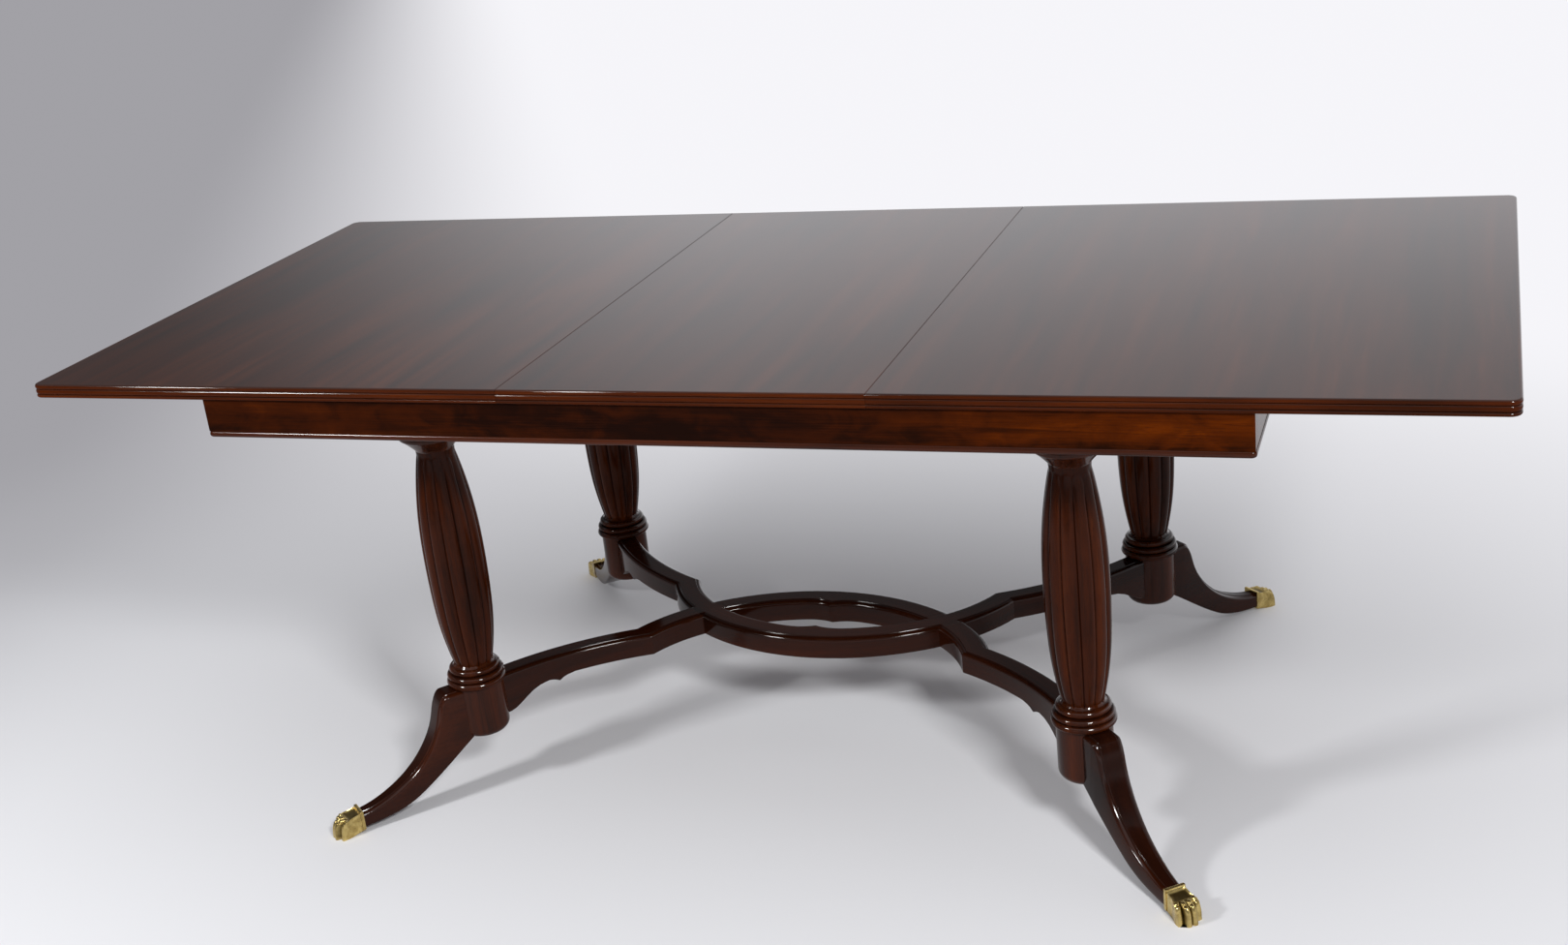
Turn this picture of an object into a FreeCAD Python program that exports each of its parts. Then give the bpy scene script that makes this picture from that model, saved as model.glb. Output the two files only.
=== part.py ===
import FreeCAD, Part
import math
import os
import re
from FreeCAD import Placement, Rotation, Vector

# Extending dining table: four reeded columns on sabre legs, crossed stretchers, top in three sections
# X runs along the table, Y across it towards the back, Z up from the floor
# Sizes in millimetres, angles in degrees, counts and shares as plain numbers
SIZES = {
    # Top in three sections, with three reeds on the edge
    "table_height": 760.0,
    "top_length": 2168.0,
    "top_width": 978.0,
    "top_thickness": 21.0,
    "top_corner_radius": 15.0,
    "leaf_width": 547.0,
    "leaf_seat_clearance": 0.3,
    "joint_gap": 0.5,
    "upper_reed": 7.0,
    "middle_reed": 8.5,
    "reed_depth": 2.6,
    # Apron with a bead along its lower edge
    "apron_length": 1550.0,
    "apron_width": 966.0,
    "apron_height": 61.0,
    "rail_thickness": 22.0,
    "bead_height": 9.5,
    "bead_lip": 1.5,
    "bead_round": 4.0,
    "bead_corner_radius": 6.0,
    "corner_block_size": 45.0,
    # Lopers that carry the two top halves
    "slide_clearance": 0.5,
    "loper_width": 34.0,
    "loper_height": 36.0,
    "loper_side_clearance": 0.6,
    "loper_low_clearance": 0.3,
    "loper_inner_place": 150.0,
    "loper_pitch": 55.0,
    "loper_outer_reach": 1040.0,
    "opening_travel": 40.0,
    "stop_clearance": 0.3,
    "stop_length": 24.0,
    "stop_height": 18.0,
    # Cross rails, centre rails and bearers
    "cross_rail_width": 60.0,
    "centre_rail_width": 40.0,
    "centre_rail_place": 100.0,
    "bearer_width": 96.0,
    "bearer_length": 730.0,
    "bearer_height": 45.5,
    "bearer_edge_round": 6.0,
    # Screws
    "screw_radius": 2.4,
    "screw_head_radius": 4.8,
    "screw_head_height": 3.0,
    "screw_clearance": 0.2,
    "screw_bite": 12.0,
    "loper_screw_grip": 22.0,
    "bearer_screw_grip": 30.0,
    "bearer_screw_bite": 20.0,
    "bearer_screw_inner": 60.0,
    "bearer_screw_outer": 245.0,
    # Columns with their caps and rings
    "column_place_x": 501.5,
    "column_place_y": 304.3,
    "column_radius": 48.6,
    "neck_radius": 30.4,
    "reed_count": 12,
    "reed_groove_depth": 4.6,
    "reed_end_height": 9.0,
    "cap_radius": 54.0,
    "cap_dish": 22.0,
    "cap_lip": 12.0,
    "cap_round": 4.0,
    "upper_ring_height": 15.0,
    "upper_ring_radius": 41.0,
    "cove_height": 1.0,
    "cove_radius": 33.0,
    "lower_ring_height": 22.0,
    "lower_ring_radius": 48.5,
    "top_tenon_radius": 13.0,
    "bearer_tenon_depth": 18.0,
    "foot_tenon_radius": 15.0,
    "foot_tenon_depth": 45.0,
    "tenon_clearance": 0.2,
    # Base blocks
    "block_top": 189.0,
    "block_bottom": 100.0,
    "block_radius": 42.0,
    "block_round": 14.0,
    # Sabre legs
    "leg_splay_angle": 49.6,
    "leg_shoulder_reach": 60.0,
    "leg_shoulder_width": 47.0,
    "leg_end_reach": 244.0,
    "leg_end_width": 28.0,
    "leg_edge_round": 3.0,
    # Brass paws
    "paw_start": 231.5,
    "paw_reach": 281.5,
    "paw_wall": 2.0,
    "paw_rim_step": 0.6,
    "paw_rim": 5.2,
    "paw_top": 38.0,
    "paw_heel": 5.6,
    "paw_knuckle_height": 30.0,
    "paw_toe_width": 9.8,
    "paw_toe_gap": 0.8,
    "paw_toe_round": 2.6,
    "paw_toe_count": 4,
    "paw_screw_radius": 2.0,
    "paw_screw_head_radius": 3.6,
    "paw_screw_head_height": 2.0,
    "paw_screw_bite": 12.0,
    # Crossed stretchers
    "stretcher_thickness": 37.0,
    "stretcher_edge_round": 5.0,
    "lens_strip": 46.0,
    "lens_rise": 71.0,
    "crossing_place": 209.6,
    "lens_cusp_depth": 9.0,
    "lens_cusp_spread": 46.0,
    "kink_place_x": 288.5,
    "kink_place_y": 101.0,
    "arm_strip": 40.0,
    "arm_sag": 20.4,
    "bracket_length": 160.0,
    "bracket_drop": 33.0,
    "lap_clearance": 0.1,
    # Dowels
    "dowel_radius": 5.0,
    "dowel_length": 40.0,
    "dowel_clearance": 0.1,
    "upper_dowel_drop": 20.0,
    "dowel_spacing": 34.0,
    # Overrun of cuts and the tolerance for finding edges
    "cut_overrun": 6.0,
    "edge_tolerance": 0.01,
}

# Levels and places that follow from the sizes
LEVELS = {
    "top_underside": "table_height - top_thickness",
    "apron_top": "top_underside - slide_clearance",
    "apron_low": "apron_top - apron_height",
    "rail_low": "apron_low + bead_height",
    "rail_inner_length": "apron_width - 2 * rail_thickness",
    "loper_low": "top_underside - loper_height",
    "notch_low": "loper_low - loper_low_clearance",
    "notch_width": "loper_width + 2 * loper_side_clearance",
    "loper_outer_place": "loper_inner_place + loper_pitch",
    "stop_face": "centre_rail_place + centre_rail_width / 2 + opening_travel + stop_clearance",
    "loper_inner_reach": "stop_face + stop_length",
    "panel_inner": "leaf_width / 2 + joint_gap",
    "bearer_low": "apron_low - bearer_height",
    "cap_low": "bearer_low - cap_lip - cap_dish",
    "shaft_low": "block_top + lower_ring_height + cove_height + upper_ring_height",
    "stretcher_low": "block_top - stretcher_thickness",
    "upper_dowel_level": "block_top - upper_dowel_drop",
    "lower_dowel_level": "upper_dowel_level - dowel_spacing",
}

# Places along the screwed part of a loper
LOPER_SCREW_SHARES = (0.12, 0.5, 0.88)

# Column outline: share of the shaft's height, share of the largest radius
COLUMN_SHARES = (
    (0.0, 0.655),
    (0.084, 0.786),
    (0.197, 0.911),
    (0.34, 0.98),
    (0.493, 1.0),
    (0.63, 0.978),
    (0.755, 0.905),
    (0.879, 0.772),
    (0.927, 0.705),
)

# Sabre leg, upper line: share of the run past the shoulder, share of the block's top level
LEG_UPPER_SHARES = (
    (0.0863, 0.915),
    (0.1341, 0.767),
    (0.2534, 0.55),
    (0.4258, 0.38),
    (0.6486, 0.255),
    (0.8714, 0.19),
    (1.0, 0.175),
)

# Sabre leg, lower line: share of the leg's reach, share of the block's top level
LEG_LOWER_SHARES = (
    (1.0, 0.042),
    (0.779, 0.069),
    (0.602, 0.132),
    (0.492, 0.21),
    (0.307, 0.373),
    (0.139, 0.526),
    (0.084, 0.571),
)

# Bracket under a stretcher arm: share of its length from the column, share of its drop
BRACKET_CURL_SHARES = ((1.0, 0.0), (0.94, 0.05), (0.83, 0.27))
BRACKET_NIB_SHARES = ((0.83, 0.27), (0.765, 0.12), (0.72, 0.08))
BRACKET_OGEE_SHARES = ((0.72, 0.08), (0.53, 0.33), (0.375, 0.79), (0.262, 1.0))
BRACKET_END_SHARE = 0.1

# Paw: shares of its length, then the toe as shares of its own length and of the knuckle's height
PAW_BOX_SHARE = 0.72
PAW_BOX_FRONT_SHARE = 0.94
PAW_SOLE_SHARE = 0.42
PAW_TOE_START_SHARE = 0.45
PAW_OUTER_TOE_SHARE = 0.16
PAW_SCREW_SHARE = 0.12
PAW_TOE_SHARES = ((0.0, 0.92), (0.3, 1.0), (0.6, 0.93), (0.87, 0.7), (1.0, 0.36), (0.98, 0.0))

CORNERS = {
    "front_left": (-1, -1),
    "front_right": (1, -1),
    "back_left": (-1, 1),
    "back_right": (1, 1),
}
SIDES = {"left": -1, "right": 1}
ENDS = {"front": -1, "back": 1}

doc = FreeCAD.newDocument("dining_table")
sheet = doc.addObject("Spreadsheet::Sheet", "Sizes")
for row, (alias, number) in enumerate(SIZES.items(), start=1):
    sheet.set(f"A{row}", alias)
    sheet.set(f"B{row}", str(number))
    sheet.setAlias(f"B{row}", alias)
for row, (alias, sum_text) in enumerate(LEVELS.items(), start=len(SIZES) + 1):
    sheet.set(f"A{row}", alias)
    sheet.set(f"B{row}", "=" + sum_text)
    sheet.setAlias(f"B{row}", alias)
doc.recompute()

nodes = {}
WORD = re.compile(r"\b[a-z]+(?:_[a-z]+)+\b")


def value(alias):
    """Give a named size or level as a number."""
    return float(sheet.get(alias))


def formula(text):
    """Turn a sum of named sizes into an expression on the sheet."""
    return WORD.sub(lambda found: "Sizes." + found.group(0), text)


def bind(thing, **sums):
    """Bind properties of a document object to sums of named sizes."""
    for name, text in sums.items():
        thing.setExpression(name, formula(text))


def seat(thing, place):
    """Bind the position of a document object to three sums of named sizes."""
    for axis, text in zip("xyz", place):
        thing.setExpression("Placement.Base." + axis, formula(text))


def keep(label, thing):
    """Name a finished piece and list it for export."""
    thing.Label = label
    nodes[label] = thing
    return thing


def new_body(label):
    """Start a piece that is made of PartDesign features."""
    return keep(label, doc.addObject("PartDesign::Body", label))


def box_feature(body, kind, sides, place):
    """Add a bound box to a body, or take one from it."""
    box = body.newObject("PartDesign::" + kind + "Box", "box")
    bind(box, Length=sides[0], Width=sides[1], Height=sides[2])
    seat(box, place)
    return box


def round_feature(body, kind, radius, height, place, turn=Rotation()):
    """Add a bound cylinder to a body, or take one from it."""
    bar = body.newObject("PartDesign::" + kind + "Cylinder", "bar")
    bar.Placement = Placement(Vector(), turn)
    bind(bar, Radius=radius, Height=height)
    seat(bar, place)
    return bar


def soften(body, base, radius, wanted):
    """Round the edges of a feature whose bounding box passes a test."""
    doc.recompute()
    names = []
    for number, edge in enumerate(base.Shape.Edges, start=1):
        if wanted(edge.BoundBox):
            names.append(f"Edge{number}")
    rounding = body.newObject("PartDesign::Fillet", "rounding")
    rounding.Base = (base, names)
    bind(rounding, Radius=radius)
    doc.recompute()
    return rounding


def near(first, second):
    """Say whether two lengths are equal within the tolerance."""
    return abs(first - second) < value("edge_tolerance")


def plane_of(body, role):
    """Give one of a body's own origin planes."""
    return next(item for item in body.Origin.OriginFeatures if item.Role == role)


def sketch_on(body, role, offset):
    """Start a sketch on an origin plane of a body, moved along its normal."""
    sketch = body.newObject("Sketcher::SketchObject", "outline")
    sketch.AttachmentSupport = [(plane_of(body, role), "")]
    sketch.MapMode = "FlatFace"
    sketch.setExpression("AttachmentOffset.Base.z", formula(offset))
    return sketch


def group(label, shapes):
    """Keep separate solids together as one named piece."""
    thing = doc.addObject("Part::Feature", label)
    thing.Shape = Part.makeCompound(shapes)
    return keep(label, thing)


def plain(label, shape, placement=Placement()):
    """Keep one coded solid as a named piece."""
    thing = doc.addObject("Part::Feature", label)
    thing.Shape = shape
    thing.Placement = placement
    return keep(label, thing)


def arc_about(centre, start, end):
    """Give the short arc about a centre between two points."""
    first = start - centre
    second = end - centre
    middle = first / first.Length + second / second.Length
    return Part.Arc(start, centre + middle / middle.Length * first.Length, end)


def spline(points, first_way=None):
    """Give a smooth curve through points."""
    curve = Part.BSplineCurve()
    if first_way is None:
        curve.interpolate(points)
    else:
        ways = [first_way] + [Vector() for point in points[1:]]
        flags = [True] + [False for point in points[1:]]
        curve.interpolate(Points=points, Tangents=ways, TangentFlags=flags)
    return curve


def face_of(curves):
    """Fill the closed outline made by lines and curves."""
    edges = [curve.toShape() for curve in curves]
    return Part.Face(Part.Wire(Part.__sortEdges__(edges)))


def corner_placement(signs):
    """Place a piece drawn along X at a column, turned along its leg."""
    angle = math.radians(value("leg_splay_angle"))
    way = Vector(signs[0] * math.cos(angle), signs[1] * math.sin(angle), 0)
    base = Vector(signs[0] * value("column_place_x"), signs[1] * value("column_place_y"), 0)
    return Placement(base, Rotation(Vector(1, 0, 0), way))


def screw(radius, head_radius, head_height, head_seat, tip):
    """Give an upright screw with its head below, seated at a level."""
    head = Part.makeCylinder(head_radius, head_height, Vector(0, 0, head_seat - head_height))
    shank = Part.makeCylinder(radius, tip - head_seat, Vector(0, 0, head_seat))
    return head.fuse(shank).removeSplitter()


# Top sections


def reed_edge(body, start, edge, path):
    """Cut the three-reed moulding along a path that starts on the front or back edge."""
    spine = sketch_on(body, "XY_Plane", "top_underside")
    spine.addGeometry(path)
    profile = sketch_on(body, "YZ_Plane", start)
    out = edge * (value("top_width") / 2 + value("cut_overrun"))
    inner = edge * (value("top_width") / 2 - value("reed_depth"))
    crest = edge * value("top_width") / 2
    levels = [value("table_height")]
    levels.append(levels[0] - value("upper_reed"))
    levels.append(levels[1] - value("middle_reed"))
    levels.append(value("top_underside"))
    high = levels[0] + value("cut_overrun")
    low = levels[-1] - value("cut_overrun")
    corners = [(inner, levels[0]), (inner, high), (out, high), (out, low), (inner, low), (inner, levels[-1])]
    points = [Vector(*corner) for corner in corners]
    curves = [Part.LineSegment(first, second) for first, second in zip(points, points[1:])]
    for upper, lower in zip(levels, levels[1:]):
        middle = Vector(crest, (upper + lower) / 2)
        curves.append(Part.Arc(Vector(inner, upper), middle, Vector(inner, lower)))
    profile.addGeometry(curves)
    doc.recompute()
    reeds = body.newObject("PartDesign::SubtractivePipe", "reeds")
    reeds.Profile = profile
    reeds.Spine = (spine, [f"Edge{number}" for number in range(1, len(path) + 1)])
    return reeds


def wrap_path(side):
    """Give the edge of a top half, from its joint round the outer end and back."""
    half = value("top_width") / 2
    radius = value("top_corner_radius")
    start = side * (value("panel_inner") - value("cut_overrun"))
    end = side * value("top_length") / 2
    turn = end - side * radius
    flat = half - radius
    front = Vector(turn, -flat)
    back = Vector(turn, flat)
    return [
        Part.LineSegment(Vector(start, -half), Vector(turn, -half)),
        arc_about(front, Vector(turn, -half), Vector(end, -flat)),
        Part.LineSegment(Vector(end, -flat), Vector(end, flat)),
        arc_about(back, Vector(end, flat), Vector(turn, half)),
        Part.LineSegment(Vector(turn, half), Vector(start, half)),
    ]


def loper_place(side, end):
    """Give the expression for a loper's distance from the middle line."""
    return f"{end} * " + ("loper_inner_place" if side < 0 else "loper_outer_place")


def loper_screw_places(side):
    """Give the expressions for the screws along a loper."""
    span = "(loper_outer_reach - panel_inner)"
    return [f"{side} * (panel_inner + {share} * {span})" for share in LOPER_SCREW_SHARES]


for side_name, side in SIDES.items():
    panel = new_body(f"{side_name}_top_panel")
    start_x = "panel_inner" if side > 0 else "-top_length / 2"
    slab = box_feature(
        panel,
        "Additive",
        ("top_length / 2 - panel_inner", "top_width", "top_thickness"),
        (start_x, "-top_width / 2", "top_underside"),
    )
    outer_end = side * value("top_length") / 2
    soften(
        panel,
        slab,
        "top_corner_radius",
        lambda box: near(box.XMin, outer_end) and near(box.ZLength, value("top_thickness")),
    )
    reed_edge(panel, f"{side} * (panel_inner - cut_overrun)", -1, wrap_path(side))
    for end in ENDS.values():
        for place_x in loper_screw_places(side):
            round_feature(
                panel,
                "Subtractive",
                "screw_radius + screw_clearance",
                "screw_bite + screw_clearance",
                (place_x, loper_place(side, end), "top_underside"),
            )

leaf = new_body("centre_leaf")
box_feature(
    leaf,
    "Additive",
    ("leaf_width", "top_width", "top_thickness - leaf_seat_clearance"),
    ("-leaf_width / 2", "-top_width / 2", "top_underside + leaf_seat_clearance"),
)
for end in ENDS.values():
    reach = value("leaf_width") / 2 + value("cut_overrun")
    edge_y = end * value("top_width") / 2
    run = [Part.LineSegment(Vector(-reach, edge_y), Vector(reach, edge_y))]
    reed_edge(leaf, "-leaf_width / 2 - cut_overrun", end, run)

# Lopers, their screws and their stops

for side_name, side in SIDES.items():
    screws = []
    stops = []
    low_x = "-loper_outer_reach" if side < 0 else "-loper_inner_reach"
    stop_x = "stop_face" if side < 0 else "-stop_face - stop_length"
    for end_name, end in ENDS.items():
        place_y = loper_place(side, end)
        loper = new_body(f"{side_name}_{end_name}_loper")
        box_feature(
            loper,
            "Additive",
            ("loper_outer_reach + loper_inner_reach", "loper_width", "loper_height"),
            (low_x, f"{place_y} - loper_width / 2", "loper_low"),
        )
        for place_x in loper_screw_places(side):
            round_feature(
                loper,
                "Subtractive",
                "screw_radius + screw_clearance",
                "loper_height + 2 * cut_overrun",
                (place_x, place_y, "loper_low - cut_overrun"),
            )
            round_feature(
                loper,
                "Subtractive",
                "screw_head_radius + screw_clearance",
                "loper_height - loper_screw_grip + cut_overrun",
                (place_x, place_y, "loper_low - cut_overrun"),
            )
        stop = doc.addObject("Part::Box", "stop")
        bind(stop, Length="stop_length", Width="loper_width", Height="stop_height")
        seat(stop, (stop_x, f"{place_y} - loper_width / 2", "loper_low - stop_height"))
        stops.append(stop)
        line_y = end * value("loper_inner_place" if side < 0 else "loper_outer_place")
        span = value("loper_outer_reach") - value("panel_inner")
        for share in LOPER_SCREW_SHARES:
            piece = screw(
                value("screw_radius"),
                value("screw_head_radius"),
                value("screw_head_height"),
                value("top_underside") - value("loper_screw_grip"),
                value("top_underside") + value("screw_bite"),
            )
            piece.translate(Vector(side * (value("panel_inner") + share * span), line_y, 0))
            screws.append(piece)
    pair = doc.addObject("Part::Compound", f"{side_name}_loper_stops")
    pair.Links = stops
    keep(f"{side_name}_loper_stops", pair)
    group(f"{side_name}_loper_screws", screws)

# Apron rails, beads and corner blocks

for end_name, end in ENDS.items():
    rail = new_body(f"{end_name}_apron_rail")
    rail_y = "-apron_width / 2" if end < 0 else "apron_width / 2 - rail_thickness"
    box_feature(
        rail,
        "Additive",
        ("apron_length", "rail_thickness", "apron_top - rail_low"),
        ("-apron_length / 2", rail_y, "rail_low"),
    )
    bead = new_body(f"{end_name}_apron_bead")
    bead_y = "-apron_width / 2 - bead_lip" if end < 0 else "apron_width / 2 - rail_thickness"
    strip = box_feature(
        bead,
        "Additive",
        ("apron_length + 2 * bead_lip", "rail_thickness + bead_lip", "bead_height"),
        ("-apron_length / 2 - bead_lip", bead_y, "apron_low"),
    )
    bead_face = end * (value("apron_width") / 2 + value("bead_lip"))
    corner = soften(
        bead,
        strip,
        "bead_corner_radius",
        lambda box: near(box.YMin, bead_face) and near(box.ZLength, value("bead_height")),
    )
    bead_inner = value("apron_width") / 2 - value("rail_thickness") + value("edge_tolerance")
    soften(
        bead,
        corner,
        "bead_round",
        lambda box: near(box.ZLength, 0) and abs(box.YMin + box.YMax) / 2 > bead_inner,
    )

for side_name, side in SIDES.items():
    rail = new_body(f"{side_name}_apron_rail")
    rail_x = "-apron_length / 2" if side < 0 else "apron_length / 2 - rail_thickness"
    box_feature(
        rail,
        "Additive",
        ("rail_thickness", "rail_inner_length", "apron_top - rail_low"),
        (rail_x, "-rail_inner_length / 2", "rail_low"),
    )
    for end in ENDS.values():
        box_feature(
            rail,
            "Subtractive",
            ("rail_thickness + 2 * cut_overrun", "notch_width", "apron_top - notch_low + cut_overrun"),
            (f"{rail_x} - cut_overrun", f"{loper_place(side, end)} - notch_width / 2", "notch_low"),
        )
    bead = new_body(f"{side_name}_apron_bead")
    bead_x = "-apron_length / 2 - bead_lip" if side < 0 else "apron_length / 2 - rail_thickness"
    strip = box_feature(
        bead,
        "Additive",
        ("rail_thickness + bead_lip", "rail_inner_length", "bead_height"),
        (bead_x, "-rail_inner_length / 2", "apron_low"),
    )
    bead_face = side * (value("apron_length") / 2 + value("bead_lip"))
    soften(
        bead,
        strip,
        "bead_round",
        lambda box: near(box.XMin, bead_face) and near(box.XMax, bead_face) and near(box.ZLength, 0),
    )

blocks = []
for signs in CORNERS.values():
    block = doc.addObject("Part::Box", "corner_block")
    bind(block, Length="corner_block_size", Width="corner_block_size", Height="corner_block_size")
    inset = ("apron_length / 2 - rail_thickness", "rail_inner_length / 2")
    place = []
    for sign, limit in zip(signs, inset):
        place.append(f"{limit} - corner_block_size" if sign > 0 else f"-({limit})")
    seat(block, (place[0], place[1], "apron_low + bead_height"))
    blocks.append(block)
corner_blocks = doc.addObject("Part::Compound", "corner_blocks")
corner_blocks.Links = blocks
keep("corner_blocks", corner_blocks)

# Cross rails over the bearers, and the two centre rails

for side_name, side in SIDES.items():
    cross = new_body(f"{side_name}_cross_rail")
    box_feature(
        cross,
        "Additive",
        ("cross_rail_width", "rail_inner_length", "apron_height"),
        (f"{side} * column_place_x - cross_rail_width / 2", "-rail_inner_length / 2", "apron_low"),
    )
    for end in ENDS.values():
        box_feature(
            cross,
            "Subtractive",
            ("cross_rail_width + 2 * cut_overrun", "notch_width", "apron_top - notch_low + cut_overrun"),
            (
                f"{side} * column_place_x - cross_rail_width / 2 - cut_overrun",
                f"{loper_place(side, end)} - notch_width / 2",
                "notch_low",
            ),
        )
        for place in ("bearer_screw_inner", "bearer_screw_outer"):
            round_feature(
                cross,
                "Subtractive",
                "screw_radius + screw_clearance",
                "bearer_screw_bite + screw_clearance",
                (f"{side} * column_place_x", f"{end} * {place}", "apron_low"),
            )
    centre = new_body(f"{side_name}_centre_rail")
    box_feature(
        centre,
        "Additive",
        ("centre_rail_width", "rail_inner_length", "apron_height"),
        (f"{side} * centre_rail_place - centre_rail_width / 2", "-rail_inner_length / 2", "apron_low"),
    )
    for end in ENDS.values():
        for owner in SIDES.values():
            box_feature(
                centre,
                "Subtractive",
                ("centre_rail_width + 2 * cut_overrun", "notch_width", "apron_top - notch_low + cut_overrun"),
                (
                    f"{side} * centre_rail_place - centre_rail_width / 2 - cut_overrun",
                    f"{loper_place(owner, end)} - notch_width / 2",
                    "notch_low",
                ),
            )

# Bearers with their screws

screws = []
for side_name, side in SIDES.items():
    bearer = new_body(f"{side_name}_bearer")
    beam = box_feature(
        bearer,
        "Additive",
        ("bearer_width", "bearer_length", "bearer_height"),
        (f"{side} * column_place_x - bearer_width / 2", "-bearer_length / 2", "bearer_low"),
    )
    soften(
        bearer,
        beam,
        "bearer_edge_round",
        lambda box: near(box.ZMax, value("bearer_low")),
    )
    for end in ENDS.values():
        round_feature(
            bearer,
            "Subtractive",
            "top_tenon_radius + tenon_clearance",
            "bearer_tenon_depth + tenon_clearance",
            (f"{side} * column_place_x", f"{end} * column_place_y", "bearer_low"),
        )
        for place in ("bearer_screw_inner", "bearer_screw_outer"):
            spot = (f"{side} * column_place_x", f"{end} * {place}", "bearer_low - cut_overrun")
            round_feature(
                bearer,
                "Subtractive",
                "screw_radius + screw_clearance",
                "bearer_height + 2 * cut_overrun",
                spot,
            )
            round_feature(
                bearer,
                "Subtractive",
                "screw_head_radius + screw_clearance",
                "bearer_height - bearer_screw_grip + cut_overrun",
                spot,
            )
            piece = screw(
                value("screw_radius"),
                value("screw_head_radius"),
                value("screw_head_height"),
                value("apron_low") - value("bearer_screw_grip"),
                value("apron_low") + value("bearer_screw_bite"),
            )
            piece.translate(Vector(side * value("column_place_x"), end * value(place), 0))
            screws.append(piece)
group("bearer_screws", screws)

# Turned caps and base blocks

block_forms = {}
for corner_name, signs in CORNERS.items():
    axis_x = f"{signs[0]} * column_place_x"
    axis_y = f"{signs[1]} * column_place_y"
    cap = new_body(f"{corner_name}_cap")
    dish = cap.newObject("PartDesign::AdditiveCone", "dish")
    bind(dish, Radius1="neck_radius", Radius2="cap_radius", Height="cap_dish")
    seat(dish, (axis_x, axis_y, "cap_low"))
    lip = round_feature(cap, "Additive", "cap_radius", "cap_lip", (axis_x, axis_y, "cap_low + cap_dish"))
    soften(cap, lip, "cap_round", lambda box: near(box.ZMin, value("bearer_low")))
    round_feature(
        cap,
        "Subtractive",
        "top_tenon_radius + tenon_clearance",
        "cap_dish + cap_lip + 2 * cut_overrun",
        (axis_x, axis_y, "cap_low - cut_overrun"),
    )

    block = new_body(f"{corner_name}_block")
    drum = round_feature(
        block,
        "Additive",
        "block_radius",
        "block_top - block_bottom",
        (axis_x, axis_y, "block_bottom"),
    )
    rounded = soften(
        block,
        drum,
        "block_round",
        lambda box: near(box.ZMax, value("block_bottom")),
    )
    block_forms[corner_name] = rounded.Shape.copy()
    round_feature(
        block,
        "Subtractive",
        "foot_tenon_radius + tenon_clearance",
        "foot_tenon_depth + tenon_clearance",
        (axis_x, axis_y, "block_top - foot_tenon_depth - tenon_clearance"),
    )

# Reeded columns


def shaft_section(radius, groove, level):
    """Give one level of the shaft: a ring of round reeds that meet in grooves."""
    count = int(value("reed_count"))
    arcs = []
    for number in range(count):
        angles = [(number + share) * math.tau / count for share in (-0.5, 0.0, 0.5)]
        radii = (radius - groove, radius, radius - groove)
        points = [Vector(r * math.cos(a), r * math.sin(a), level) for r, a in zip(radii, angles)]
        arcs.append(Part.Arc(*points).toShape())
    return Part.Wire(arcs)


def column_solid():
    """Give one column on the Z axis: tenons, rings, reeded shaft and neck."""
    low = value("shaft_low")
    span = value("cap_low") - low
    largest = value("column_radius")
    wires = []
    for height_share, radius_share in COLUMN_SHARES:
        radius = radius_share * largest
        groove = value("reed_groove_depth") * radius_share
        wires.append(shaft_section(radius, groove, low + height_share * span))
    reeds = Part.makeLoft(wires, True, False)
    end_level = low + COLUMN_SHARES[-1][0] * span
    end_radius = COLUMN_SHARES[-1][1] * largest
    neck_level = end_level + value("reed_end_height")
    neck_share = value("reed_end_height") / (value("cap_low") - end_level)
    neck_low_radius = end_radius + (value("neck_radius") - end_radius) * neck_share
    ends = Part.makeLoft([wires[-1], shaft_section(neck_low_radius, 0, neck_level)], True, True)
    neck = Part.makeCone(
        neck_low_radius,
        value("neck_radius"),
        value("cap_low") - neck_level,
        Vector(0, 0, neck_level),
    )
    lower_tube = value("lower_ring_height") / 2
    upper_tube = value("upper_ring_height") / 2
    lower_core = value("lower_ring_radius") - lower_tube
    upper_core = value("upper_ring_radius") - upper_tube
    cove_core = value("cove_radius")
    base = value("block_top")
    cove_low = base + value("lower_ring_height")
    cove_high = cove_low + value("cove_height")
    turned = [
        Part.LineSegment(Vector(0, 0, base), Vector(lower_core, 0, base)),
        arc_half(lower_core, base, lower_tube),
        Part.LineSegment(Vector(lower_core, 0, cove_low), Vector(cove_core, 0, cove_low)),
        Part.LineSegment(Vector(cove_core, 0, cove_low), Vector(cove_core, 0, cove_high)),
        Part.LineSegment(Vector(cove_core, 0, cove_high), Vector(upper_core, 0, cove_high)),
        arc_half(upper_core, cove_high, upper_tube),
        Part.LineSegment(Vector(upper_core, 0, low), Vector(0, 0, low)),
        Part.LineSegment(Vector(0, 0, low), Vector(0, 0, base)),
    ]
    rings = face_of(turned).revolve(Vector(), Vector(0, 0, 1), math.degrees(math.tau))
    foot = Part.makeCylinder(
        value("foot_tenon_radius"),
        value("foot_tenon_depth"),
        Vector(0, 0, base - value("foot_tenon_depth")),
    )
    head_height = value("bearer_low") + value("bearer_tenon_depth") - value("cap_low")
    head = Part.makeCylinder(value("top_tenon_radius"), head_height, Vector(0, 0, value("cap_low")))
    return rings.fuse([reeds, ends, neck, foot, head]).removeSplitter()


def arc_half(core, level, tube):
    """Give the half round of a turned ring in the XZ plane."""
    points = [(core, level), (core + tube, level + tube), (core, level + 2 * tube)]
    return Part.Arc(*[Vector(across, 0, up) for across, up in points])


column_form = column_solid()
for corner_name, signs in CORNERS.items():
    base = Vector(signs[0] * value("column_place_x"), signs[1] * value("column_place_y"), 0)
    plain(f"{corner_name}_column", column_form.copy(), Placement(base, Rotation()))

# Sabre legs and brass paws, drawn along X from the column axis


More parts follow.
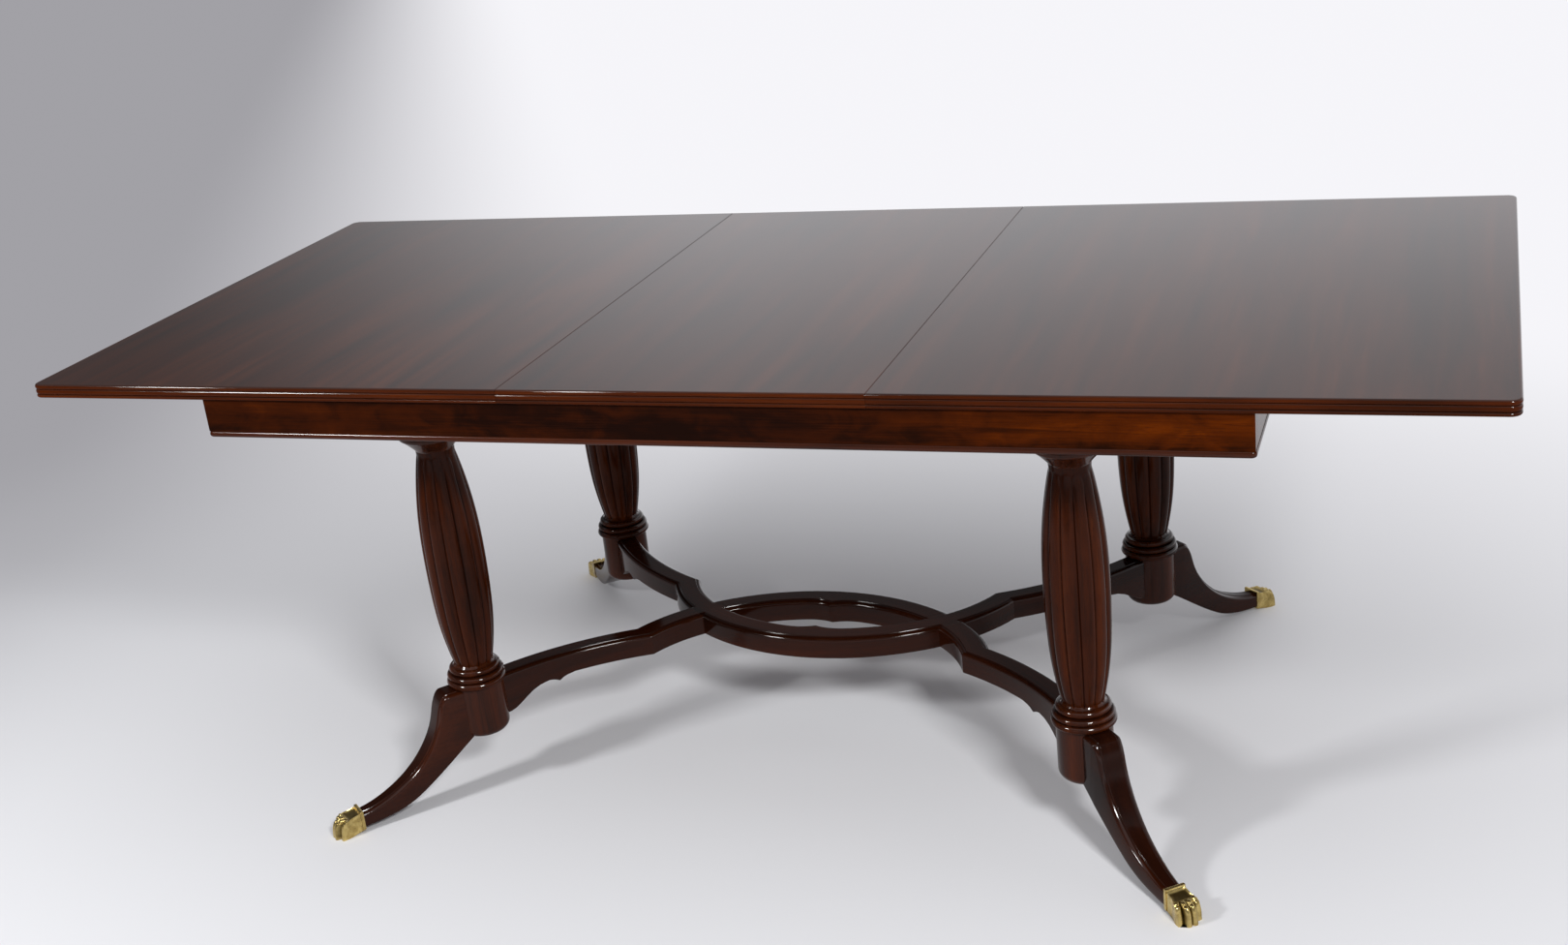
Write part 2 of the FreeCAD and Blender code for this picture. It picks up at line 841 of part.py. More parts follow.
def leg_solid():
    """Give one sabre leg before it is fitted to its block."""
    reach = value("leg_end_reach")
    top = value("block_top")
    shoulder = Vector(value("leg_shoulder_reach"), 0, top)
    run = reach - shoulder.x
    upper = [shoulder] + [Vector(shoulder.x + far * run, 0, up * top) for far, up in LEG_UPPER_SHARES]
    lower = [Vector(far * reach, 0, up * top) for far, up in LEG_LOWER_SHARES]
    inner = Vector(lower[-1].x, 0, top)
    side_view = face_of([
        Part.LineSegment(inner, shoulder),
        spline(upper, Vector(1, 0, 0)),
        Part.LineSegment(upper[-1], lower[0]),
        spline(lower),
        Part.LineSegment(lower[-1], inner),
    ])
    wide = value("leg_shoulder_width")
    slab = side_view.copy()
    slab.translate(Vector(0, -wide, 0))
    slab = slab.extrude(Vector(0, 2 * wide, 0))
    plan = [(0, wide / 2), (shoulder.x, wide / 2), (reach + value("cut_overrun"), value("leg_end_width") / 2)]
    plan += [(far, -across) for far, across in reversed(plan)]
    points = [Vector(far, across, 0) for far, across in plan]
    wedge = Part.Face(Part.makePolygon(points + points[:1])).extrude(Vector(0, 0, 2 * top))
    leg = slab.common(wedge)
    upper_edges = []
    for edge in leg.Edges:
        ends = [point.Point for point in edge.Vertexes]
        low_end = min(ends, key=lambda point: point.z)
        high_end = max(ends, key=lambda point: point.z)
        if near(high_end.z, top) and near(low_end.x, reach):
            upper_edges.append(edge)
    return leg.makeFillet(value("leg_edge_round"), upper_edges)


def paw_solid(leg):
    """Give one paw cap: a rim and box round the leg's end, then the toes."""
    start = value("paw_start")
    span = value("paw_reach") - start
    wall = value("paw_wall")
    half = value("leg_end_width") / 2 + wall
    heel = value("paw_heel")
    top = value("paw_top")
    sole_start = start + PAW_SOLE_SHARE * span
    box_end = start + PAW_BOX_SHARE * span
    rim = Part.makeBox(value("paw_rim"), 2 * half, top - heel, Vector(start, -half, heel))
    rim = rim.makeFillet(value("paw_rim_step"), rim.Edges)
    width = int(value("paw_toe_count")) * value("paw_toe_width")
    box_half = half - value("paw_rim_step")
    knuckle = value("paw_knuckle_height")
    side_view = Part.makePolygon([
        Vector(start + wall, -box_half, heel),
        Vector(sole_start, -box_half, 0),
        Vector(box_end, -box_half, 0),
        Vector(box_end, -box_half, knuckle * PAW_BOX_FRONT_SHARE),
        Vector(start + wall, -box_half, top - wall),
        Vector(start + wall, -box_half, heel),
    ])
    body = Part.Face(side_view).extrude(Vector(0, 2 * box_half, 0))
    toes = []
    for number in range(int(value("paw_toe_count"))):
        across = -width / 2 + number * value("paw_toe_width")
        outer = number in (0, int(value("paw_toe_count")) - 1)
        tip = value("paw_reach") - (PAW_OUTER_TOE_SHARE * span if outer else 0)
        toes.append(toe_solid(start + PAW_TOE_START_SHARE * span, tip, across))
    return body.fuse([rim] + toes).removeSplitter().cut(leg)


def toe_solid(start, tip, across):
    """Give one toe: a raised knuckle that rolls down to a claw on the floor."""
    high = value("paw_knuckle_height")
    side = across + value("paw_toe_gap") / 2
    back = Vector(start, side, 0)
    roll = [Vector(start + far * (tip - start), side, up * high) for far, up in PAW_TOE_SHARES]
    outline = [
        Part.LineSegment(back, roll[0]),
        spline(roll),
        Part.LineSegment(roll[-1], back),
    ]
    width = value("paw_toe_width") - value("paw_toe_gap")
    toe = face_of(outline).extrude(Vector(0, width, 0))
    rims = [edge for edge in toe.Edges if near(edge.BoundBox.YLength, 0) and edge.BoundBox.XLength > width]
    return toe.makeFillet(value("paw_toe_round"), [edge for edge in rims if edge.BoundBox.ZMax > high / 2])


def bar_along(radius, start, length, level, way):
    """Give a level round bar along a direction."""
    return Part.makeCylinder(radius, length, way * start + Vector(0, 0, level), way)


leg_raw = leg_solid()
paw_raw = paw_solid(leg_raw)
screw_x = value("paw_start") + PAW_SCREW_SHARE * (value("paw_reach") - value("paw_start"))
leg_underside = value("block_top") * LEG_LOWER_SHARES[0][1]
dowel_start = value("block_radius") - value("dowel_length") / 2
dowel_hole = value("dowel_radius") + value("dowel_clearance")
along = Vector(1, 0, 0)
dowel_levels = (value("upper_dowel_level"), value("lower_dowel_level"))
leg_holes = []
for level in dowel_levels:
    long_hole = value("dowel_length") + 2 * value("dowel_clearance")
    leg_holes.append(bar_along(dowel_hole, dowel_start - value("dowel_clearance"), long_hole, level, along))
paw_screw = screw(
    value("paw_screw_radius"),
    value("paw_screw_head_radius"),
    value("paw_screw_head_height"),
    value("paw_heel") + value("paw_screw_head_height"),
    leg_underside + value("paw_screw_bite"),
)
paw_screw.translate(Vector(screw_x, 0, 0))
screw_room = screw(
    value("paw_screw_radius") + value("screw_clearance"),
    value("paw_screw_head_radius") + value("screw_clearance"),
    value("paw_heel") + value("paw_screw_head_height"),
    value("paw_heel") + value("paw_screw_head_height"),
    leg_underside + value("paw_screw_bite") + value("screw_clearance"),
)
screw_room.translate(Vector(screw_x, 0, 0))

leg_dowels = []
paw_screws = []
for corner_name, signs in CORNERS.items():
    placement = corner_placement(signs)
    local_block = block_forms[corner_name].copy()
    local_block.Placement = placement.inverse().multiply(local_block.Placement)
    leg = leg_raw.cut([local_block, screw_room] + leg_holes)
    plain(f"{corner_name}_leg", leg, placement)
    plain(f"{corner_name}_paw", paw_raw.cut(screw_room), placement)
    for level in dowel_levels:
        peg = bar_along(value("dowel_radius"), dowel_start, value("dowel_length"), level, along)
        peg.Placement = placement.multiply(peg.Placement)
        leg_dowels.append(peg)
    piece = paw_screw.copy()
    piece.Placement = placement.multiply(piece.Placement)
    paw_screws.append(piece)
group("leg_dowels", leg_dowels)
group("paw_screws", paw_screws)

# Crossed stretchers


def tangent_circle(point, outward, target):
    """Give centre and radius of the circle that leaves a point square to a direction and meets a target."""
    step = target - point
    radius = -step.dot(step) / (2 * step.dot(outward))
    return point - outward * radius, radius


def circles_meet(first, first_radius, second, second_radius, close):
    """Give the crossing of two circles that lies nearest to a point."""
    gap = (second - first).Length
    along_gap = (second - first) / gap
    foot = (gap * gap + first_radius * first_radius - second_radius * second_radius) / (2 * gap)
    rise = math.sqrt(first_radius * first_radius - foot * foot)
    sideways = Vector(-along_gap.y, along_gap.x, 0) * rise
    options = [first + along_gap * foot + sideways, first + along_gap * foot - sideways]
    return min(options, key=lambda option: (option - close).Length)


def stretcher_plan():
    """Give the plan of the front stretcher and the direction of its right arm at the block."""
    half = value("lens_strip") / 2
    arm_half = value("arm_strip") / 2
    crossing = Vector(value("crossing_place"), 0, 0)
    rise = value("lens_rise")
    lens_radius = (crossing.x * crossing.x + rise * rise) / (2 * rise)
    lens = Vector(0, rise - lens_radius, 0)
    outward = (crossing - lens) / lens_radius
    kink = Vector(value("kink_place_x"), -value("kink_place_y"), 0)
    neck, neck_radius = tangent_circle(crossing, outward, kink)
    block = Vector(value("column_place_x"), -value("column_place_y"), 0)
    chord = block - kink
    sag = value("arm_sag")
    arm_radius = (chord.Length * chord.Length / 4 + sag * sag) / (2 * sag)
    bulge = Vector(-chord.y, chord.x, 0) / chord.Length
    arm = (kink + block) / 2 - bulge * (arm_radius - sag)
    arm_end = (block - arm) / arm_radius
    concave = circles_meet(neck, neck_radius + half, arm, arm_radius + arm_half, kink)
    convex = circles_meet(neck, neck_radius - half, arm, arm_radius - arm_half, kink)
    spread = value("lens_cusp_spread")
    inner_radius = lens_radius - half
    curl = lens + Vector(spread, math.sqrt(inner_radius * inner_radius - spread * spread), 0)
    cusp = lens + Vector(0, inner_radius - value("lens_cusp_depth"), 0)
    nib, nib_radius = tangent_circle(curl, (curl - lens) / inner_radius, cusp)
    outer = [lens + Vector(0, lens_radius + half, 0), lens + outward * (lens_radius + half), concave]
    outer.append(arm + arm_end * (arm_radius + arm_half))
    inner = [arm + arm_end * (arm_radius - arm_half), convex, lens + outward * inner_radius, curl, cusp]
    curves = [arc_about(centre, *pair) for centre, pair in zip((lens, neck, arm), zip(outer, outer[1:]))]
    curves.append(Part.LineSegment(outer[-1], inner[0]))
    inner_centres = (arm, neck, lens, nib)
    curves += [arc_about(centre, *pair) for centre, pair in zip(inner_centres, zip(inner, inner[1:]))]
    edges = [curve.toShape() for curve in curves]
    edges += [edge.mirror(Vector(), Vector(1, 0, 0)) for edge in edges]
    inward = Vector(arm_end.y, -arm_end.x, 0)
    if inward.dot(kink - block) < 0:
        inward = -inward
    return Part.Face(Part.Wire(Part.__sortEdges__(edges))), inward


def bracket_block(inward, signs):
    """Give the space of a bracket under an arm, from its block along the arm."""
    length = value("bracket_length")
    drop = value("bracket_drop")
    level = value("stretcher_low")

    def points(shares):
        return [Vector(far * length, -length, level - down * drop) for far, down in shares]

    curl = points(BRACKET_CURL_SHARES)
    nib = points(BRACKET_NIB_SHARES)
    ogee = points(BRACKET_OGEE_SHARES)
    end = points([(BRACKET_END_SHARE, 1.0), (BRACKET_END_SHARE, 0.0)])
    side_view = face_of([
        Part.Arc(*curl),
        Part.Arc(*nib),
        spline(ogee),
        Part.LineSegment(ogee[-1], end[0]),
        Part.LineSegment(end[0], end[1]),
        Part.LineSegment(end[1], curl[0]),
    ])
    space = side_view.extrude(Vector(0, 2 * length, 0))
    way = Vector(inward.x * signs[0], -inward.y * signs[1], 0)
    base = Vector(signs[0] * value("column_place_x"), signs[1] * value("column_place_y"), 0)
    space.Placement = Placement(base, Rotation(Vector(1, 0, 0), way))
    return space


front_plan, arm_way = stretcher_plan()
plans = {"front": front_plan, "back": front_plan.mirror(Vector(), Vector(0, 1, 0))}
thick = value("stretcher_thickness")
lap = thick / 2 + value("lap_clearance") / 2
stretcher_dowels = []
for end_name, end in ENDS.items():
    floor = Vector(0, 0, value("stretcher_low"))
    strip = plans[end_name].copy()
    strip.translate(floor)
    strip = strip.extrude(Vector(0, 0, thick))
    top_edges = [edge for edge in strip.Edges if near(edge.BoundBox.ZMin, value("block_top"))]
    strip = strip.makeFillet(value("stretcher_edge_round"), top_edges)
    deep = plans[end_name].copy()
    deep.translate(floor - Vector(0, 0, value("bracket_drop")))
    deep = deep.extrude(Vector(0, 0, value("bracket_drop")))
    other = plans["back" if end < 0 else "front"].copy()
    other.translate(floor + Vector(0, 0, thick - lap if end < 0 else 0))
    cuts = [other.extrude(Vector(0, 0, lap))]
    brackets = []
    for side_name, side in SIDES.items():
        signs = (side, end)
        brackets.append(deep.common(bracket_block(arm_way, signs)))
        cuts.append(block_forms[f"{end_name}_{side_name}"])
        axis = Vector(signs[0] * value("column_place_x"), signs[1] * value("column_place_y"), 0)
        way = Vector(arm_way.x * signs[0], -arm_way.y * signs[1], 0)
        for level in dowel_levels:
            peg = bar_along(value("dowel_radius"), dowel_start, value("dowel_length"), level, way)
            peg.translate(axis)
            stretcher_dowels.append(peg)
            spare = value("dowel_clearance")
            hole = bar_along(dowel_hole, dowel_start - spare, value("dowel_length") + 2 * spare, level, way)
            hole.translate(axis)
            cuts.append(hole)
    shape = strip.fuse(brackets).removeSplitter().cut(cuts)
    plain(f"{end_name}_stretcher", shape)
group("stretcher_dowels", stretcher_dowels)

# Dowel holes in the base blocks

leg_angle = math.radians(value("leg_splay_angle"))
for corner_name, signs in CORNERS.items():
    leg_way = Vector(math.cos(leg_angle) * signs[0], math.sin(leg_angle) * signs[1], 0)
    brace_way = Vector(arm_way.x * signs[0], -arm_way.y * signs[1], 0)
    block = nodes[f"{corner_name}_block"]
    for way in (leg_way, brace_way):
        turn = Rotation(Vector(0, 0, 1), way)
        for level in ("upper_dowel_level", "lower_dowel_level"):
            start = "(block_radius - dowel_length / 2 - dowel_clearance)"
            spot = (
                f"{signs[0]} * column_place_x + {way.x} * {start}",
                f"{signs[1]} * column_place_y + {way.y} * {start}",
                level,
            )
            round_feature(
                block,
                "Subtractive",
                "dowel_radius + dowel_clearance",
                "dowel_length + 2 * dowel_clearance",
                spot,
                turn,
            )

doc.recompute()

# Test every object, then write each piece

for thing in doc.Objects:
    bad = [word for word in thing.State if word in ("Invalid", "Error")]
    if bad:
        raise RuntimeError(f"{thing.Label}: {bad}")
os.makedirs("parts", exist_ok=True)
for label, thing in nodes.items():
    shape = thing.Shape
    if shape.isNull() or not shape.isValid() or not shape.Solids:
        raise RuntimeError(f"{label}: bad shape")
    shape.exportStep(f"parts/{label}.step")
    print(label, len(shape.Solids), round(shape.Volume), [round(x, 1) for x in shape.BoundBox.Center])
print(len(nodes), "pieces")
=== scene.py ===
"""Looks of an extending dining table on four reeded columns: surfaces, finishes, light and camera."""
import logging
import math
from dataclasses import dataclass, field, replace
from enum import Enum
from functools import reduce
from typing import ClassVar

import bmesh
import bpy
import numpy as np
from mathutils import Matrix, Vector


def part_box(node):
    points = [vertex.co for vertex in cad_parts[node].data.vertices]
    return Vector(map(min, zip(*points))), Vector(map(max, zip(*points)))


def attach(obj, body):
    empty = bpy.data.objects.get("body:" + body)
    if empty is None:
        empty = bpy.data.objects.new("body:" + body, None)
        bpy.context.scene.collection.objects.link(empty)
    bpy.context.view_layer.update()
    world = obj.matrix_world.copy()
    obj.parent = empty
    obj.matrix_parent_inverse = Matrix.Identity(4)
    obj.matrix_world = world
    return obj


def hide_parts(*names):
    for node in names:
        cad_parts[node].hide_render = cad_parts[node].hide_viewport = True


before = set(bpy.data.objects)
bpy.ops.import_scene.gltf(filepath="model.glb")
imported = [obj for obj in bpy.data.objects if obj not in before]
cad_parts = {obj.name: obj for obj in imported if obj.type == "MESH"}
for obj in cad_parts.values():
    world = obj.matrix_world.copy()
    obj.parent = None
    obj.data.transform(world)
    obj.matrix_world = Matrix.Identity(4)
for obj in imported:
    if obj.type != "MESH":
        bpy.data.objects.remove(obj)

Array = np.ndarray
Pair = tuple[float, float]
Triple = tuple[float, float, float]
Run = tuple[float, float, int]
Socket = bpy.types.NodeSocket
Tree = bpy.types.NodeTree
Piece = bpy.types.Object

LOG = logging.getLogger("dining_table")
MM = 0.001
QUARTER = math.pi / 2
TURNING_STEPS = 96
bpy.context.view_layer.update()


class Corner(Enum):
    """The four supports, each with the sign of its place along X and Y."""

    FRONT_LEFT = (-1, -1)
    FRONT_RIGHT = (1, -1)
    BACK_LEFT = (-1, 1)
    BACK_RIGHT = (1, 1)

    @property
    def label(self) -> str:
        """Name of the support as the frame spells it."""
        return self.name.lower()


class Fibre(Enum):
    """Where a finish takes the run of its fibres from: turn of the pattern about X, Y and Z."""

    SURFACE = None
    ALONG_X = (0.0, 0.0, 0.0)
    ALONG_Y = (0.0, 0.0, -QUARTER)


# Curves and profiles


def run_length(points: Array) -> Array:
    """Length along a line of points, 0 at the first."""
    return np.concatenate([[0.0], np.cumsum(np.linalg.norm(np.diff(points, axis=0), axis=1))])


def circle(angle: Array) -> Array:
    """Points of the unit circle at some angles."""
    return np.stack([np.cos(angle), np.sin(angle)], axis=-1)


def coordinates(*parts: Array) -> Array:
    """Three arrays of one grid as the coordinates of its points."""
    return np.dstack(np.broadcast_arrays(*parts))


def with_level(flat: Array, level: Array) -> Array:
    """Plan points with a level as their third coordinate."""
    return coordinates(flat[..., 0], flat[..., 1], level)


def stations(*runs: Run) -> Array:
    """Evenly spaced values of one run after another, each given by start, end and count."""
    return np.concatenate([np.linspace(*run) for run in runs])


def ease(values: Array, low: float, high: float) -> Array:
    """Smooth step from 0 at low to 1 at high."""
    share = np.clip((values - low) / (high - low), 0.0, 1.0)
    return share * share * (3 - 2 * share)


def curve_through(knots: Array, count: int, start_way: Array | None = None) -> Array:
    """Cubic spline through knots, by chord length, with free ends or a set starting slope.

    On each span the curve is a * p0 + b * p1 + ((a^3 - a) * m0 + (b^3 - b) * m1) * h^2 / 6, where
    the bends m keep slope and bend continuous from span to span.

    Args:
        knots: points to pass through, one row each.
        count: number of points to return.
        start_way: slope at the first knot, or None for a free end.

    Returns:
        The points, evenly spaced by chord length.
    """
    place = run_length(knots)
    steps = np.diff(place)
    slope = np.diff(knots, axis=0) / steps[:, None]
    size = len(knots)
    inner = np.arange(1, size - 1)
    matrix = np.eye(size)
    right = np.zeros_like(knots, dtype=float)
    matrix[inner, inner] = 2 * (steps[:-1] + steps[1:])
    matrix[inner, inner - 1] = steps[:-1]
    matrix[inner, inner + 1] = steps[1:]
    right[inner] = 6 * (slope[1:] - slope[:-1])
    if start_way is not None:
        matrix[0, :2] = 2 * steps[0], steps[0]
        right[0] = 6 * (slope[0] - start_way)
    bend = np.linalg.solve(matrix, right)
    at = np.linspace(0.0, place[-1], count)
    span = np.clip(np.searchsorted(place, at, side="right") - 1, 0, size - 2)
    wide = steps[span][:, None]
    ahead = (place[span + 1] - at)[:, None] / wide
    past = 1 - ahead
    bow = (ahead**3 - ahead) * bend[span] + (past**3 - past) * bend[span + 1]
    return ahead * knots[span] + past * knots[span + 1] + bow * wide * wide / 6


def half_round(centre: Pair, across: float, up: float, steps: int) -> Array:
    """Half ellipse from its lower to its upper end: centre + (across * cos a, up * sin a)."""
    return np.array(centre) + circle(np.linspace(-QUARTER, QUARTER, steps + 1)) * (across, up)


def thumb_mould(
    inset: Array, wide: float, fall: float, step: float, lip: float = 1.1, quirk_width: float = 0.6
) -> tuple[Array, Array]:
    """Drop of a thumbnail moulding below the field: a quarter ellipse with a rounded step at its inner end.

    Args:
        inset: distance from the edge.
        wide: width of the round.
        fall: height of the round.
        step: height of the step up to the field.
        lip: width of the step.
        quirk_width: width of the quirk at the foot of the step.

    Returns:
        The drop, and an amount of painted shade that is 1 in the quirk.
    """
    share = np.clip(1 - inset / wide, 0.0, 1.0)
    round_drop = fall * (1 - np.sqrt(1 - share * share))
    below = 1 - ease(inset, wide, wide + lip)
    return round_drop + step * below, np.exp(-(((inset - wide) / quirk_width) ** 2))


def rounded_plan(low: Pair, high: Pair, radius: float, steps: int, guard: float = 2.0) -> tuple[Array, Array]:
    """Outline of a rectangle with round corners, with guard points beside each corner.

    Args:
        low: lowest corner.
        high: highest corner.
        radius: corner radius.
        steps: steps in a corner.
        guard: distance of the guard points from the round.

    Returns:
        Points in order, and the corner each one belongs to as the sharp rectangle's own corner.
    """
    points = []
    sharp = []
    for number, sign in enumerate(((1, 1), (-1, 1), (-1, -1), (1, -1))):
        corner = np.where(np.array(sign) > 0, high, low)
        angle = np.linspace(0, QUARTER, steps + 1) + number * QUARTER
        arc = corner - radius * np.array(sign) + radius * circle(angle)
        along = guard * circle(angle + QUARTER)
        points += [arc[:1] - along[:1], arc, arc[-1:] + along[-1:]]
        sharp.append(np.tile(corner, (steps + 3, 1)))
    return np.concatenate(points), np.concatenate(sharp)


def revolve(radius: Array, level: Array, angle: Array, centre: Pair) -> Array:
    """Points (c + r * cos a, c + r * sin a, level): a row for each level, a column for each angle."""
    return with_level(np.array(centre) + radius[..., None] * circle(angle), level)


# Meshes


@dataclass
class Shell:
    """Gathers the grids and flat faces of one piece and makes a mesh object of them.

    Points are in millimetres in the table's frame. Every face corner carries two attributes:
    grain, a place in the board with X along the fibres, and recess, an amount of darkening that
    is 1 at the bottom of a groove and 0 on open surface: painted shade in grooves, quirks, the
    paws' dish and the legs' upper fields, patina between the paws' toes, and a broad darkening
    along the apron.
    """

    points: list[Array] = field(default_factory=list)
    loops: list[Array] = field(default_factory=list)
    totals: list[Array] = field(default_factory=list)
    grain: list[Array] = field(default_factory=list)
    recess: list[Array] = field(default_factory=list)
    count: int = 0
    weld: float = 1e-6

    def _store(self, corners: Array, grain: Array, recess: Array) -> None:
        """Keep faces of one size with their corner attributes.

        Args:
            corners: point indices, a row for each face.
            grain: board place of each corner.
            recess: groove value of each corner.
        """
        self.loops.append(corners.ravel())
        self.totals.append(np.full(len(corners), corners.shape[1]))
        self.grain.append(grain.reshape(-1, 3))
        self.recess.append(recess.ravel())

    def grid(
        self, points: Array, grain: Array | None = None, recess: Array | None = None, wrap: bool = False
    ) -> Array:
        """Add a surface sampled on a grid.

        Args:
            points: places, shaped rows, columns, 3.
            grain: board places of the same shape, or None for the points themselves.
            recess: groove values of rows, columns, or None for open surface.
            wrap: whether the last column joins the first.

        Returns:
            Indices of the points, shaped rows, columns.
        """
        rows, columns = points.shape[:2]
        index = self.count + np.arange(rows * columns).reshape(rows, columns)
        self.points.append(points.reshape(-1, 3))
        self.count += rows * columns
        order = np.arange(columns + wrap) % columns

        def cells(values: Array) -> Array:
            """Values at the four corners of every cell."""
            lane = values[:, order]
            return np.stack([lane[:-1, :-1], lane[1:, :-1], lane[1:, 1:], lane[:-1, 1:]], axis=2)

        grain = points if grain is None else grain
        recess = np.zeros((rows, columns)) if recess is None else recess
        self._store(cells(index).reshape(-1, 4), cells(grain), cells(recess))
        return index

    def places(self, ring: Array) -> Array:
        """Places of some point indices."""
        return np.concatenate(self.points)[ring]

    def face(self, ring: Array, grain: Array | None = None) -> None:
        """Close a ring of point indices with one flat face; its grain is its places unless given."""
        grain = self.places(ring) if grain is None else grain
        self._store(ring[None], grain, np.zeros(len(ring)))

    def tube(self, points: Array, grain: Array, recess: Array | None = None) -> None:
        """Add a grid that closes on itself, with a flat face at each end.

        Args:
            points: places, shaped rows, columns, 3.
            grain: board places of the same shape.
            recess: groove values of rows, columns, or None for open surface.
        """
        index = self.grid(points, grain, recess, wrap=True)
        self.face(index[0])
        self.face(index[-1])

    def make(self, name: str, crease: float = 32.0) -> Piece:
        """Make the mesh object, faces outward, smooth up to the crease angle.

        Args:
            name: name of the piece.
            crease: angle in degrees above which an edge stays sharp.

        Returns:
            The new object, linked to the scene.
        """
        mesh = bpy.data.meshes.new(name)
        points = np.concatenate(self.points) * MM
        loops = np.concatenate(self.loops)
        totals = np.concatenate(self.totals)
        mesh.vertices.add(len(points))
        mesh.vertices.foreach_set("co", points.astype(np.float32).ravel())
        mesh.loops.add(len(loops))
        mesh.loops.foreach_set("vertex_index", loops.astype(np.int32))
        mesh.polygons.add(len(totals))
        mesh.polygons.foreach_set("loop_start", (np.cumsum(totals) - totals).astype(np.int32))
        mesh.update(calc_edges=True)
        grain = np.concatenate(self.grain) * MM
        grain_layer = mesh.attributes.new("grain", "FLOAT_VECTOR", "CORNER")
        grain_layer.data.foreach_set("vector", grain.astype(np.float32).ravel())
        recess_layer = mesh.attributes.new("recess", "FLOAT", "CORNER")
        recess_layer.data.foreach_set("value", np.concatenate(self.recess).astype(np.float32))
        cage = bmesh.new()
        cage.from_mesh(mesh)
        bmesh.ops.remove_doubles(cage, verts=cage.verts, dist=self.weld)
        bmesh.ops.recalc_face_normals(cage, faces=cage.faces)
        cage.to_mesh(mesh)
        cage.free()
        mesh.shade_smooth()
        mesh.set_sharp_from_angle(angle=math.radians(crease))
        piece = bpy.data.objects.new(name, mesh)
        bpy.context.scene.collection.objects.link(piece)
        return piece


def turned(name: str, profile: Array, centre: Pair) -> Piece:
    """Turn a profile about an upright axis and close it with a flat face at each end.

    Args:
        name: name of the piece.
        profile: rows of radius and level, from one end to the other.
        centre: place of the axis.

    Returns:
        The piece.
    """
    angle = np.arange(TURNING_STEPS) * math.tau / TURNING_STEPS
    points = revolve(profile[:, :1], profile[:, 1:], angle, centre)
    shell = Shell()
    shell.tube(points, points[..., [2, 0, 1]])
    return shell.make(name)


def dress(piece: Piece, finish: "Finish", body: str, nodes: list[str]) -> None:
    """Give a piece its finish and tie it to the frame.

    Args:
        piece: the new piece.
        finish: its finish.
        body: body that it rides on.
        nodes: nodes that it stands for.
    """
    piece.data.materials.clear()
    piece.data.materials.append(finish.material())
    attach(piece, body)
    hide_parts(*nodes)
    LOG.info("%s stands for %s", piece.name, ", ".join(nodes))


# Shader nodes


class NodeSheet:
    """Adds and links shader nodes in one tree."""

    noise_roughness = 0.55

    def __init__(self, tree: Tree) -> None:
        """Work on a tree, starting from an empty one."""
        self.tree = tree
        self.tree.nodes.clear()

    def add(self, kind: str, inputs: dict | None = None, **settings: object) -> bpy.types.Node:
        """Add a node.

        Args:
            kind: node type.
            inputs: socket name or number, to a value or another node's output.
            settings: attributes of the node.

        Returns:
            The node.
        """
        node = self.tree.nodes.new(kind)
        for key, setting in settings.items():
            setattr(node, key, setting)
        for key, source in (inputs or {}).items():
            if isinstance(source, Socket):
                self.tree.links.new(source, node.inputs[key])
            else:
                node.inputs[key].default_value = source
        return node

    def maths(self, operation: str, first: object, second: object) -> Socket:
        """Result of a maths node on two values or sockets."""
        return self.add("ShaderNodeMath", {0: first, 1: second}, operation=operation).outputs[0]

    def times(self, *terms: object) -> Socket:
        """Product of values or sockets."""
        return reduce(lambda total, term: self.maths("MULTIPLY", total, term), terms)

    def plus(self, *terms: object) -> Socket:
        """Sum of values or sockets."""
        return reduce(lambda total, term: self.maths("ADD", total, term), terms)

    def minus(self, first: object, second: object) -> Socket:
        """Difference of two values or sockets."""
        return self.maths("SUBTRACT", first, second)

    def mix(self, share: object, first: object, second: object, blend: str = "MIX") -> Socket:
        """Mix of two colours by a share."""
        node = self.add("ShaderNodeMix", {0: share, 6: first, 7: second}, data_type="RGBA", blend_type=blend)
        return node.outputs[2]

    def spread(
        self, value: Socket, low: float, high: float, start: object = 0.0, end: object = 1.0
    ) -> Socket:
        """Smooth step of a value from low..high to start..end."""
        inputs = {0: value, 1: low, 2: high, 3: start, 4: end}
        return self.add("ShaderNodeMapRange", inputs, interpolation_type="SMOOTHSTEP").outputs[0]

    def vector(self, operation: str, first: Socket, second: Triple, output: int | str = 0) -> Socket:
        """Result of a vector maths node on a socket and three numbers."""
        node = self.add("ShaderNodeVectorMath", {0: first, 1: second}, operation=operation)
        return node.outputs[output]

    def noise(self, vector: Socket, stretch: Triple, detail: float, twist: float = 0.0) -> Socket:
        """Noise on a stretched vector.

        Args:
            vector: place on the surface.
            stretch: cycles for each metre along the three axes.
            detail: octaves.
            twist: distortion.

        Returns:
            The noise, 0 to 1.
        """
        scaled = self.vector("MULTIPLY", vector, stretch)
        inputs = {"Vector": scaled, "Scale": 1.0, "Detail": detail, "Distortion": twist}
        inputs["Roughness"] = self.noise_roughness
        return self.add("ShaderNodeTexNoise", inputs).outputs[0]


# Finishes


